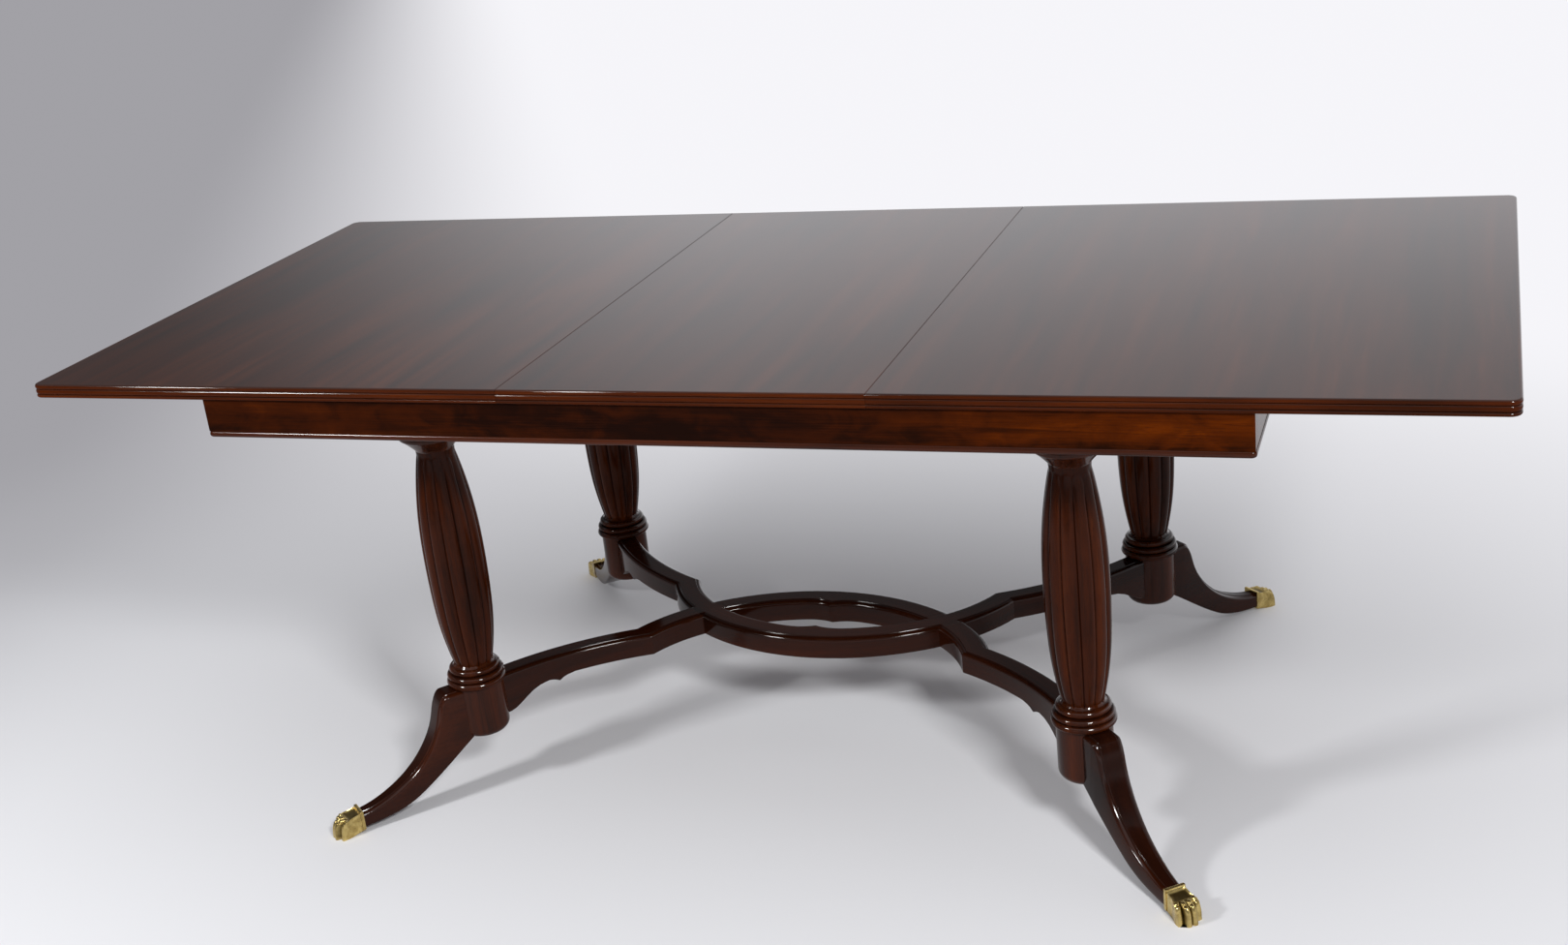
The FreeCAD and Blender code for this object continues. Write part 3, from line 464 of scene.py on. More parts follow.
@dataclass(frozen=True)
class Finish:
    """What every finish shares: a name, where its pattern comes from, and its gloss.

    Coat and tint go by the slope of the surface: sides, then edges that turn up, then level fields; the tint
    is painted light, warmer and lighter on the sides.
    """

    name: str
    fibre: Fibre = Fibre.SURFACE
    polish: float = 0.10
    relief: float = 0.06
    specular: float = 0.5
    field_polish: float = 0.0
    edge_polish: float = 0.0
    side_polish: float = 0.0
    side_painted_light: Triple = (1.0, 1.0, 1.0)
    edge_slope: Pair = (0.20, 0.45)
    field_slope: Pair = (0.80, 0.98)
    tint_slope: Pair = (0.15, 0.60)
    relief_depth: float = 0.001
    metallic: ClassVar[float] = 0.0
    pattern: ClassVar[str]
    labels: ClassVar[tuple[str, ...]]
    results: ClassVar[dict[str, str]] = {
        "Colour": "NodeSocketColor", "Roughness": "NodeSocketFloat", "Height": "NodeSocketFloat",
    }

    def amounts(self) -> dict[str, object]:
        """Colours and amounts that the pattern takes, by the labels of its sockets."""
        values = {label: getattr(self, label.lower()) for label in self.labels}
        return {
            label: (*value, 1.0) if isinstance(value, tuple) else value for label, value in values.items()
        }

    def draw(self, sheet: NodeSheet, given: dict[str, Socket]) -> tuple[Socket, ...]:
        """Draw the pattern, from the group's input sockets to colour, roughness and height."""
        raise NotImplementedError

    def group(self) -> Tree:
        """The node group of this kind of finish, made once.

        Returns:
            A group that puts out Colour, Roughness and Height.
        """
        if self.pattern in bpy.data.node_groups:
            return bpy.data.node_groups[self.pattern]
        tree = bpy.data.node_groups.new(self.pattern, "ShaderNodeTree")
        kinds = {"Vector": "NodeSocketVector", "Recess": "NodeSocketFloat"}
        for label, amount in self.amounts().items():
            kinds[label] = "NodeSocketColor" if isinstance(amount, tuple) else "NodeSocketFloat"
        for way, sockets in (("INPUT", kinds), ("OUTPUT", self.results)):
            for label, kind in sockets.items():
                tree.interface.new_socket(name=label, in_out=way, socket_type=kind)
        sheet = NodeSheet(tree)
        given = sheet.add("NodeGroupInput").outputs
        drawn = self.draw(sheet, dict(given.items()))
        sheet.add("NodeGroupOutput", dict(zip(self.results, drawn)))
        return tree

    def coat(self, sheet: NodeSheet, recess: Socket, colour: Socket) -> dict[str, object]:
        """Shader inputs of the polish coat, which leaves out the grooves, and of the painted light on the
        sides.

        Args:
            sheet: sheet of the material.
            recess: groove values.
            colour: colour of the pattern.

        Returns:
            Shader inputs by name.
        """
        normal = sheet.add("ShaderNodeNewGeometry").outputs["Normal"]
        upward = sheet.add("ShaderNodeSeparateXYZ", {0: normal}).outputs["Z"]
        gloss = sheet.spread(upward, *self.edge_slope, self.side_polish, self.edge_polish)
        gloss = sheet.spread(upward, *self.field_slope, gloss, self.field_polish)
        # Painted light: sides get a warmer, lighter colour than level faces, standing for the light that the
        # edges catch.
        tint = sheet.mix(sheet.spread(upward, *self.tint_slope), (*self.side_painted_light, 1.0), (1.0, 1.0, 1.0, 1.0))
        return {
            "Base Color": sheet.mix(1.0, colour, tint, "MULTIPLY"),
            "Coat Weight": sheet.times(gloss, sheet.minus(1.0, recess)),
            "Coat Roughness": self.polish,
        }

    def material(self) -> bpy.types.Material:
        """Make the material, or give the one made before.

        Returns:
            The material, with a group feeding colour, roughness and bump of its shader.
        """
        if self.name in bpy.data.materials:
            return bpy.data.materials[self.name]
        material = bpy.data.materials.new(self.name)
        material.use_nodes = True
        sheet = NodeSheet(material.node_tree)
        inputs = self.amounts()
        if self.fibre is Fibre.SURFACE:
            inputs["Vector"] = sheet.add("ShaderNodeAttribute", attribute_name="grain").outputs["Vector"]
            inputs["Recess"] = sheet.add("ShaderNodeAttribute", attribute_name="recess").outputs["Fac"]
        else:
            place = sheet.add("ShaderNodeTexCoord").outputs["Object"]
            inputs["Vector"] = sheet.add("ShaderNodeMapping", {0: place, 2: self.fibre.value}).outputs[0]
        colour, rough, height = sheet.add("ShaderNodeGroup", inputs, node_tree=self.group()).outputs
        relief = {"Strength": self.relief, "Distance": self.relief_depth, "Height": height}
        looks = {
            "Base Color": colour,
            "Roughness": rough,
            "Normal": sheet.add("ShaderNodeBump", relief).outputs[0],
            "Metallic": self.metallic,
            "Specular IOR Level": self.specular,
        }
        if self.edge_polish:
            looks |= self.coat(sheet, inputs["Recess"], colour)
        shader = sheet.add("ShaderNodeBsdfPrincipled", looks)
        sheet.add("ShaderNodeOutputMaterial", {"Surface": shader.outputs[0]})
        return material


@dataclass(frozen=True, kw_only=True)
class Timber(Finish):
    """Polished or plain timber: each layer of its figure is a noise of some stretch, detail and twist."""

    pale: Triple
    mid: Triple
    deep: Triple
    ribbon: float = 0.30
    mottle: float = 0.0
    streak: float = 0.45
    pore: float = 0.4
    pattern: ClassVar[str] = "timber_figure"
    labels: ClassVar[tuple[str, ...]] = (
        "Pale", "Mid", "Deep", "Ribbon", "Mottle", "Streak", "Polish", "Pore",
    )
    layers: ClassVar[dict[str, tuple]] = {
        "broad": ((1.3, 11.0, 11.0), 4.0, 0.8),
        "ribbon": ((2.6, 62.0, 62.0), 4.0, 0.3),
        "fibre": ((14.0, 520.0, 520.0), 4.0),
        "pore": ((60.0, 1500.0, 1500.0), 1.0),
        "mottle": ((16.0, 26.0, 26.0), 3.0, 1.2),
        "dark": ((2.0, 34.0, 34.0), 5.0, 1.0),
    }
    middle: ClassVar[float] = 0.5
    pore_band: ClassVar[Pair] = (0.60, 0.70)
    dark_band: ClassVar[Pair] = (0.54, 0.70)
    mid_band: ClassVar[Pair] = (0.28, 0.52)
    pale_band: ClassVar[Pair] = (0.48, 0.76)
    fibre_tone: ClassVar[float] = 0.22
    fibre_rough: ClassVar[float] = 0.08
    recess_shade: ClassVar[float] = 0.72
    recess_rough: ClassVar[float] = 0.22
    ribbon_relief: ClassVar[float] = 0.35
    pore_relief: ClassVar[float] = 0.25
    pore_and_shade_colour: ClassVar[Triple] = (0.006, 0.0025, 0.002)

    def draw(self, sheet: NodeSheet, given: dict[str, Socket]) -> tuple[Socket, ...]:
        """Figure, fibres and pores of mahogany, on a vector whose X runs along the fibres.

        Args:
            sheet: sheet of the group.
            given: the group's input sockets.

        Returns:
            Colour, roughness and height.
        """
        layer = {label: sheet.noise(given["Vector"], *setting) for label, setting in self.layers.items()}
        sway = {label: sheet.minus(layer[label], self.middle) for label in ("ribbon", "mottle", "fibre")}
        pore = sheet.spread(layer["pore"], *self.pore_band)
        dark = sheet.spread(layer["dark"], *self.dark_band)
        banded = sheet.times(sway["ribbon"], given["Ribbon"])
        clouded = sheet.times(sway["mottle"], given["Mottle"])
        lined = sheet.times(sway["fibre"], self.fibre_tone)
        tone = sheet.plus(layer["broad"], banded, clouded, lined)
        body = sheet.mix(sheet.spread(tone, *self.mid_band), given["Deep"], given["Mid"])
        body = sheet.mix(sheet.spread(tone, *self.pale_band), body, given["Pale"])
        body = sheet.mix(sheet.times(dark, given["Streak"]), body, given["Deep"])
        # Painted shade: the recess value darkens the colour towards the pore colour, which the real pores
        # share.
        hollow = sheet.times(given["Recess"], self.recess_shade)
        shade = sheet.maths("MAXIMUM", sheet.times(pore, given["Pore"]), hollow)
        body = sheet.mix(shade, body, (*self.pore_and_shade_colour, 1.0))
        worn = sheet.times(sway["fibre"], self.fibre_rough)
        rough = sheet.plus(worn, sheet.times(given["Recess"], self.recess_rough), given["Polish"])
        waves = sheet.times(layer["ribbon"], self.ribbon_relief)
        return body, rough, sheet.minus(waves, sheet.times(pore, self.pore_relief))


@dataclass(frozen=True, kw_only=True)
class CastMetal(Finish):
    """Brass or steel: each layer of its patina is a noise of some stretch, detail and twist."""

    bright: Triple
    dull: Triple
    dirt: Triple
    metallic: ClassVar[float] = 1.0
    pattern: ClassVar[str] = "cast_patina"
    labels: ClassVar[tuple[str, ...]] = ("Bright", "Dull", "Dirt", "Polish")
    layers: ClassVar[dict[str, tuple]] = {
        "cloud": ((70.0, 70.0, 70.0), 5.0, 0.6),
        "skin": ((520.0, 520.0, 520.0), 4.0),
        "speck": ((240.0, 240.0, 240.0), 3.0),
    }
    dull_band: ClassVar[Pair] = (0.36, 0.66)
    speck_band: ClassVar[Pair] = (0.56, 0.70)
    speck_share: ClassVar[float] = 0.35
    cloud_rough: ClassVar[float] = 0.16
    recess_rough: ClassVar[float] = 0.25
    skin_relief: ClassVar[float] = 0.6

    def draw(self, sheet: NodeSheet, given: dict[str, Socket]) -> tuple[Socket, ...]:
        """Patina of a cast metal: bright where rubbed, dark in hollows by patina and by painted shade, with a
        cast skin.

        Args:
            sheet: sheet of the group.
            given: the group's input sockets.

        Returns:
            Colour, roughness and height.
        """
        layer = {label: sheet.noise(given["Vector"], *setting) for label, setting in self.layers.items()}
        body = sheet.mix(sheet.spread(layer["cloud"], *self.dull_band), given["Bright"], given["Dull"])
        speck = sheet.times(sheet.spread(layer["speck"], *self.speck_band), self.speck_share)
        body = sheet.mix(speck, body, given["Dirt"])
        # Hollows take the dirt colour: patina between the paws' toes, and painted shade in the paws' dish.
        body = sheet.mix(given["Recess"], body, given["Dirt"])
        cloudy = sheet.times(layer["cloud"], self.cloud_rough)
        rough = sheet.plus(cloudy, given["Polish"], sheet.times(given["Recess"], self.recess_rough))
        return body, rough, sheet.plus(sheet.times(layer["skin"], self.skin_relief), layer["cloud"])


TOP_FINISH = Timber(
    "polished_top", pale=(0.066, 0.0150, 0.0036), mid=(0.035, 0.0076, 0.0021), deep=(0.017, 0.0044, 0.0018),
    ribbon=0.45, streak=0.20, specular=0.05, edge_polish=0.62, field_polish=0.76, side_painted_light=(1.5, 1.2, 0.5),
)
APRON_FINISH = Timber(
    "apron_veneer", pale=(0.118, 0.0205, 0.0005), mid=(0.057, 0.0095, 0.0005), deep=(0.013, 0.0028, 0.0006),
    mottle=0.45, streak=0.60, specular=0.02,
)
APRON_END_FINISH = replace(APRON_FINISH, name="apron_end_veneer", fibre=Fibre.ALONG_Y)
BASE_FINISH = Timber(
    "base_mahogany", pale=(0.074, 0.0150, 0.0034), mid=(0.040, 0.0083, 0.0023), deep=(0.012, 0.0034, 0.0016),
    polish=0.12, specular=0.03, side_polish=0.28, edge_polish=0.60,
)
LEG_FINISH = Timber(
    "leg_mahogany", pale=(0.042, 0.0084, 0.0020), mid=(0.022, 0.0045, 0.0013), deep=(0.009, 0.0026, 0.0012),
    specular=0.03, side_polish=0.26, edge_polish=0.80,
)
COLUMN_FINISH = Timber(
    "column_mahogany", pale=(0.074, 0.0148, 0.0024), mid=(0.035, 0.0068, 0.0014),
    deep=(0.011, 0.0030, 0.0012), ribbon=0.35, mottle=0.15, streak=0.55, specular=0.05,
    side_polish=0.06, edge_polish=1.0, field_polish=1.0,
)
BEARER_FINISH = Timber(
    "bearer_mahogany", fibre=Fibre.ALONG_Y, pale=(0.062, 0.0128, 0.0030), mid=(0.033, 0.0070, 0.0020),
    deep=(0.012, 0.0034, 0.0016), polish=0.30, specular=0.3,
)
RUNNER_FINISH = Timber(
    "runner_timber", fibre=Fibre.ALONG_X, pale=(0.36, 0.20, 0.10), mid=(0.26, 0.135, 0.065),
    deep=(0.13, 0.06, 0.03), ribbon=0.5, streak=0.25, polish=0.50, relief=0.15,
)
RAIL_FINISH = replace(
    RUNNER_FINISH, name="rail_timber", fibre=Fibre.ALONG_Y, pale=(0.34, 0.19, 0.095), mid=(0.25, 0.13, 0.062),
    deep=(0.12, 0.055, 0.028), polish=0.52,
)
# The brass's dirt colour also paints the shade in the paws' dish.
BRASS_FINISH = CastMetal(
    "aged_brass", polish=0.16, relief=0.25, bright=(0.66, 0.51, 0.20), dull=(0.40, 0.29, 0.10),
    dirt=(0.045, 0.032, 0.012),
)
STEEL_FINISH = CastMetal(
    "screw_steel", fibre=Fibre.ALONG_X, polish=0.25, relief=0.1,
    bright=(0.55, 0.54, 0.52), dull=(0.32, 0.31, 0.30), dirt=(0.06, 0.05, 0.04),
)


# Sub-assemblies


@dataclass
class TableTop:
    """The top in three sections, with three reeds along its outer edges."""

    length: float = 2168.0
    width: float = 978.0
    thickness: float = 21.0
    level: float = 760.0
    corner: float = 15.0
    corner_steps: int = 10
    corner_guard: float = 5.0
    reeds: tuple[float, ...] = (7.0, 8.5, 5.5)
    reed_depth: float = 2.6
    reed_steps: int = 12
    groove_start: float = 0.55
    arris: float = 0.7
    field_guard: float = 2.0
    half_shift: float = 400.0
    leaf_shift: float = 910.0

    def edge(self) -> tuple[Array, Array]:
        """Edge profile from the top face down: each reed is a half ellipse.

        Returns:
            Inset and drop of each point.
        """
        back = self.reed_depth + self.field_guard
        parts = [np.array([[back, 0.0]])]
        start = 0.0
        for height in self.reeds:
            middle = (-self.reed_depth, start + height / 2)
            reed = half_round(middle, self.reed_depth, height / 2, self.reed_steps)
            parts.append(reed[1 if start else 0:] * (-1, 1))
            start += height
        inset, drop = np.concatenate([*parts, [[back, start]]]).T
        return inset, drop

    def half_path(self, side: int, joint: float) -> tuple[Array, Array]:
        """Outer line of one half, from the joint at the front round to the joint at the back.

        Args:
            side: -1 for the left half, 1 for the right.
            joint: distance of the joint from the middle.

        Returns:
            Points and outward directions along the line.
        """
        end, deep, radius = self.length / 2, self.width / 2, self.corner
        arc = circle(np.linspace(-QUARTER, 0.0, self.corner_steps + 1))
        front = [[joint, -deep], [joint + self.arris, -deep], [end - radius - self.corner_guard, -deep]]
        turn = radius * arc + (end - radius, radius - deep)
        points = np.concatenate([front, turn, [[end, radius + self.corner_guard - deep]]])
        ways = np.concatenate([np.tile([0.0, -1.0], (len(front), 1)), arc, [[1.0, 0.0]]])
        points, ways = (np.concatenate([part, part[::-1] * (1, -1)]) * (side, 1) for part in (points, ways))
        return points, ways

    def leaf_paths(self, joint: float) -> list[tuple[Array, Array]]:
        """Outer lines of the leaf: its front edge, then its back edge.

        Args:
            joint: distance of the joint from the middle.

        Returns:
            Points and outward directions of both lines.
        """
        across = np.array([-joint, self.arris - joint, joint - self.arris, joint])
        front = np.stack([across, np.full(4, -self.width / 2)], axis=1)
        ways = np.tile([0.0, -1.0], (4, 1))
        return [(front, ways), (-front, -ways)]

    def section(self, name: str, runs: list[tuple[Array, Array]], shift: float) -> Piece:
        """One section of the top: the edge profile carried along each run, flat fields and joint faces.

        A point is path - outward * inset, at level - drop; the ends of a run are eased by the arris.

        Args:
            name: name of the piece.
            runs: outer lines with outward directions, in order round the section.
            shift: place of the board in the tree, so sections differ in figure.

        Returns:
            The piece.
        """
        shell = Shell()
        inset, drop = self.edge()
        middle = self.thickness / 2
        rows = []
        for points, ways in runs:
            flat = points[:, None] - ways[:, None] * inset[:, None]
            eased = np.ones((len(points), 1))
            eased[[0, -1]] = 1 - self.arris / middle
            level = self.level - middle + (middle - drop) * eased
            grain = coordinates(run_length(points)[:, None] + shift, drop + shift, inset)
            # Painted shade in the grooves between the reeds.
            hollow = ease(inset, self.groove_start * self.reed_depth, self.reed_depth)
            grooves = np.tile(hollow, (len(points), 1))
            grooves[:, [0, 1, -1, -2]] = 0
            rows.append(shell.grid(with_level(flat, level), grain, grooves))
        rings = [np.concatenate([row[1:-1, lane] for row in rows]) for lane in (0, -1)]
        for row, other in zip(rows, rows[1:] + rows[:1]):
            rings += [np.concatenate([row[-2:, lane], other[:2, lane]]) for lane in (0, -1)]
            rings.append(np.concatenate([row[-1], other[0, ::-1]]))
        for ring in rings:
            shell.face(ring, shell.places(ring)[:, [1, 0, 2]] + shift)
        return shell.make(name)

    def build(self) -> None:
        """Make the three sections and tie each to its body."""
        for side, label in ((-1, "left"), (1, "right")):
            low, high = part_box(f"{label}_top_panel")
            joint = min(abs(low.x), abs(high.x)) / MM
            piece = self.section(f"{label}_top_board", [self.half_path(side, joint)], self.half_shift * side)
            dress(piece, TOP_FINISH, f"{label}_top", [f"{label}_top_panel"])
        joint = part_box("centre_leaf")[1].x / MM
        piece = self.section("leaf_board", self.leaf_paths(joint), self.leaf_shift)
        dress(piece, TOP_FINISH, "leaf", ["centre_leaf"])


@dataclass
class Apron:
    """Front and back boards of the apron and the bead along its lower edge."""

    length: float = 1550.0
    width: float = 966.0
    low: float = 677.5
    top: float = 738.5
    thickness: float = 22.0
    arris: float = 1.2
    arris_steps: int = 6
    guard: float = 1.0
    step: float = 61.0
    figure: Pair = (5070.0, 2210.0)
    shade: float = 0.70
    shade_run: Pair = (100.0, 650.0)
    spot: float = 0.22
    spot_place: float = 70.0
    spot_reach: float = 240.0
    bead: float = 9.5
    nose: float = 3.6
    nose_steps: int = 14
    lip: float = 1.5
    bead_corner: float = 6.0
    bead_steps: int = 8
    bead_figure: float = 20.0

    def board(self, end: int, label: str) -> Piece:
        """A long board with eased corners: its plan carried straight up.

        The colour is darkened from the left end to the middle and fades out towards the right end: a * (1 -
        smooth step of x) + b * exp(-((x - c) / d)^2).

        Args:
            end: -1 for the front, 1 for the back.
            label: name of the end.

        Returns:
            The piece.
        """
        half = self.length / 2
        near, far = sorted((end * (self.width / 2 - self.thickness), end * self.width / 2))
        corners, _ = rounded_plan((-half, near), (half, far), self.arris, self.arris_steps)
        loop = np.concatenate([corners, corners[:1]])
        length = run_length(loop)
        places = np.unique(np.concatenate([length[:-1], np.arange(self.step, length[-1], self.step)]))
        x, y = (np.interp(places, length, part) for part in loop.T)
        low = self.low + self.bead
        level = np.array([low, low + self.guard, self.top - self.guard, self.top])[:, None]
        points = coordinates(x, y, level)
        along = points[..., 0]
        shade = self.shade * (1 - ease(along, *self.shade_run))
        shade += self.spot * np.exp(-(((along - self.spot_place) / self.spot_reach) ** 2))
        shell = Shell()
        shell.tube(points, points[..., [0, 2, 1]] + self.figure[end > 0], shade)
        return shell.make(f"{label}_apron_board")

    def bead_ring(self) -> Piece:
        """The bead round all four sides: a nosing carried along a rectangle with round corners.

        The nose is a half ellipse on the outer line; the inner line is the sharp rectangle set
        back by the bead's depth.

        Returns:
            The piece.
        """
        outer = np.array([self.length / 2 + self.lip, self.width / 2 + self.lip])
        plan, sharp = rounded_plan(tuple(-outer), tuple(outer), self.bead_corner, self.bead_steps)
        deep = self.thickness + self.lip
        cornered = np.abs(plan - sharp) < self.bead_corner + 1e-6
        inner = np.where(cornered, sharp - np.sign(sharp) * deep, plan)
        inner = np.clip(inner, deep - outer, outer - deep)
        nose = half_round((0.0, self.bead / 2), self.nose, self.bead / 2, self.nose_steps)[::-1]
        share = np.concatenate([[0.0], 1 - (self.nose - nose[:, 0]) / deep, [0.0]])[:, None]
        level = self.low + np.concatenate([[self.bead], nose[:, 1], [0.0]])[:, None]
        points = with_level(inner + (plan - inner) * share[..., None], level)
        grain = coordinates(run_length(plan), level, self.bead_figure * share)
        shell = Shell()
        shell.grid(np.concatenate([points, points[:1]]), np.concatenate([grain, grain[:1]]), wrap=True)
        return shell.make("apron_bead_moulding")

    def build(self) -> None:
        """Make the boards and the bead; the end rails keep their own solids."""
        for end, label in ((-1, "front"), (1, "back")):
            dress(self.board(end, label), APRON_FINISH, "frame", [f"{label}_apron_rail"])
        names = [f"{label}_apron_bead" for label in ("front", "back", "left", "right")]
        dress(self.bead_ring(), BASE_FINISH, "frame", names)


@dataclass
class Support:
    """One support: cap, reeded column with its rings, base block, sabre leg and brass paw."""

    corner: Corner
    place: Pair = (501.5, 304.3)
    splay: float = 49.6
    crease: float = 40.0
    block_top: float = 189.0
    block_low: float = 100.0
    block_radius: float = 42.0
    block_round: float = 14.0
    block_steps: int = 12
    block_ends: Pair = (10.0, 20.0)
    block_arris: tuple[Pair, ...] = ((0.0, -3.0), (0.0, -1.0), (-1.0, 0.0))
    shaft_low: float = 227.0
    cap_low: float = 598.0
    cap_lip: float = 620.0
    cap_top: float = 632.0
    cap_radius: float = 54.0
    cap_nose: float = 3.0
    cap_end: float = 12.0
    cap_flare: float = 1.15
    cap_steps: tuple[int, int] = (13, 10)
    neck_radius: float = 30.4
    radius: float = 48.6
    ring_end: float = 14.0
    rings: tuple[tuple, ...] = (
        (41.8, 6.2, 6.7, 6.2, 16), (40.6, 17.4, 5.8, 5.0, 14), (36.2, 28.0, 5.4, 5.4, 14),
    )
    ring_neck: tuple[Pair, ...] = ((34.6, 34.0), (33.4, 36.0))
    ring_quirks: tuple[float, ...] = (12.4, 22.5, 34.5)
    quirk_shade: float = 0.9
    reeds: int = 12
    reed_steps: int = 18
    shaft_rows: int = 140
    groove: float = 4.2
    groove_at_tip: float = 1.4
    groove_shade: Pair = (0.62, 1.0)
    tip: float = 14.0
    tip_plain: Pair = (2.5, 0.5)
    tip_pale: Pair = (2.0, 0.6)
    tip_light: float = 0.9
    shaft: tuple[Pair, ...] = (
        (0.0, 0.655), (0.084, 0.786), (0.197, 0.911), (0.34, 0.98), (0.493, 1.0),
        (0.63, 0.978), (0.755, 0.905), (0.879, 0.772), (0.927, 0.705), (1.0, 0.586),
    )
    reed_end: float = 0.951
    column_figure: float = 173.0
    leg_reach: float = 244.0
    leg_end: float = 236.4
    leg_root: float = 22.0
    leg_slack: float = 6.0
    leg_camber: float = 0.5
    leg_figure: float = 211.0
    leg_figure_depth: float = 0.4
    leg_rows: tuple[int, int, int] = (14, 120, 400)
    shoulder: float = 60.0
    leg_widths: Pair = (47.0, 28.0)
    leg_mould: tuple[float, ...] = (6.8, 4.4, 1.7, 1.6)
    leg_edge: tuple[Run, ...] = ((0.0, 6.3, 15), (6.6, 8.6, 11), (9.5, 9.5, 1))
    leg_field: Run = (0.6, 1.0, 5)
    leg_field_painted_shade: float = 0.72
    leg_field_start: Pair = (7.4, 8.8)
    leg_arris: tuple[float, ...] = (0.0, 0.0, 0.6, 2.0)
    leg_arris_rise: tuple[float, ...] = (6.0, 2.0, 0.6, 0.0)
    leg_upper: tuple[Pair, ...] = (
        (0.0863, 0.915), (0.1341, 0.767), (0.2534, 0.55), (0.4258, 0.38), (0.6486, 0.255), (0.8714, 0.19),
        (1.0, 0.175),
    )
    leg_lower: tuple[Pair, ...] = (
        (0.084, 0.571), (0.139, 0.526), (0.307, 0.373), (0.492, 0.21), (0.602, 0.132), (0.779, 0.069),
        (1.0, 0.042),
    )

    @property
    def centre(self) -> Pair:
        """Place of the column's axis."""
        return self.corner.value[0] * self.place[0], self.corner.value[1] * self.place[1]

    def outward(self, points: Array) -> Array:
        """Turn points drawn along X from the column's axis into this support's own direction.

        Args:
            points: places with X outward, Y across and Z up.

        Returns:
            The same points in the table's frame.
        """
        turn = math.radians(self.splay)
        flat = points[..., :1] * circle(turn) + points[..., 1:2] * circle(turn + QUARTER)
        return np.concatenate([np.array(self.centre) + flat * self.corner.value, points[..., 2:]], axis=-1)

    def cap(self) -> Piece:
        """The turned cap: a flare, whose radius grows as the height to the power 1.15, and a round lip.

        Returns:
            The piece.
        """
        share = np.linspace(0, 1, self.cap_steps[0])
        core = self.cap_radius - self.cap_nose
        radius = self.neck_radius + (core - self.neck_radius) * share**self.cap_flare
        cone = np.stack([radius, self.cap_low + (self.cap_lip - self.cap_low) * share], axis=1)
        middle, half = (self.cap_lip + self.cap_top) / 2, (self.cap_top - self.cap_lip) / 2
        lip = half_round((core, middle), self.cap_nose, half, self.cap_steps[1])
        profile = np.concatenate([[[self.cap_end, self.cap_low]], cone, lip, [[self.cap_end, self.cap_top]]])
        return turned(f"{self.corner.label}_turned_cap", profile, self.centre)

    def block(self) -> Piece:
        """The round base block: a cylinder with a quarter round at its foot and an eased upper edge.

        Returns:
            The piece.
        """
        middle = (self.block_radius - self.block_round, self.block_low + self.block_round)
        foot = self.block_round * circle(np.linspace(-QUARTER, 0, self.block_steps)) + middle
        arris = np.array(self.block_arris) + (self.block_radius, self.block_top)
        first, last = [[self.block_ends[0], self.block_low]], [[self.block_ends[1], self.block_top]]
        profile = np.concatenate([first, foot, arris, last])
        return turned(f"{self.corner.label}_base_block", profile, self.centre)

    def column(self) -> Piece:
        """The column: three turned rings, a swelling shaft of round reeds and a plain neck.

        On the shaft the radius is R(z) - g(z) * (1 - h), where R is a spline, g the groove depth
        and h = (1 - |x|^3) across each reed, x from -1 to 1, times a round tip at its upper end.

        Returns:
            The piece.
        """
        low = self.block_top
        beads = [half_round((radius, low + level), *bead) for radius, level, *bead in self.rings]
        rings = np.concatenate([[[self.ring_end, low]], *beads, np.array(self.ring_neck) + (0.0, low)])
        span = self.cap_low - self.shaft_low
        line = curve_through(np.array(self.shaft) * (span, self.radius), self.shaft_rows)
        height, swell = line[:, :1], np.maximum(line[:, 1:], self.neck_radius)
        local = np.sin(np.linspace(-1, 1, self.reed_steps + 1)[:-1] * QUARTER)
        angle = (np.arange(self.reeds)[:, None] + local / 2).ravel() * math.tau / self.reeds
        across = np.tile(np.abs(local), self.reeds)
        end, tip = self.reed_end * span, self.tip
        room = tip * np.sqrt(np.clip(1 - across**2, 0.0, 1.0))
        past = np.clip((height - end + tip - room) / np.maximum(room, 1e-6), 0, 1)
        past = np.where(height <= end - tip, 0.0, np.where(room < 1e-3, 1.0, past))
        crown = (1 - across**3) * np.sqrt(np.clip(1 - past**2, 0, 1))
        plain, pale = (ease(height, *(end - tip * np.array(run))) for run in (self.tip_plain, self.tip_pale))
        depth = self.groove * swell / self.radius * (1 - plain) + self.groove_at_tip * plain
        shaft = swell - depth * (1 - ease(height, end, span)) * (1 - crown)
        ring_radius = np.repeat(rings[:, :1], len(angle), axis=1)
        # Painted shade in the quirks of the rings and along the reed grooves, lighter near the reed tips.
        quirk = np.exp(-((rings[:, 1:] - low - self.ring_quirks) ** 2)).max(axis=1, keepdims=True)
        valley = ease(1 - crown, *self.groove_shade) * (1 - self.tip_light * pale)
        shade = np.concatenate([np.broadcast_to(self.quirk_shade * quirk, ring_radius.shape), valley])
        level = np.concatenate([rings[:, 1:], self.shaft_low + height])
        points = revolve(np.concatenate([ring_radius, shaft]), level, angle, self.centre)
        shell = Shell()
        shift = (self.column_figure * sum(self.corner.value), 0.0, 0.0)
        shell.tube(points, points[..., [2, 0, 1]] + shift, shade)
        return shell.make(f"{self.corner.label}_reeded_column", self.crease)

    def leg_half(self, reach: Array) -> Array:
        """Half of the leg's width at a reach from the column's axis."""
        share = np.clip((reach - self.shoulder) / (self.leg_reach + self.leg_slack - self.shoulder), 0, 1)
        return (self.leg_widths[0] + (self.leg_widths[1] - self.leg_widths[0]) * share) / 2

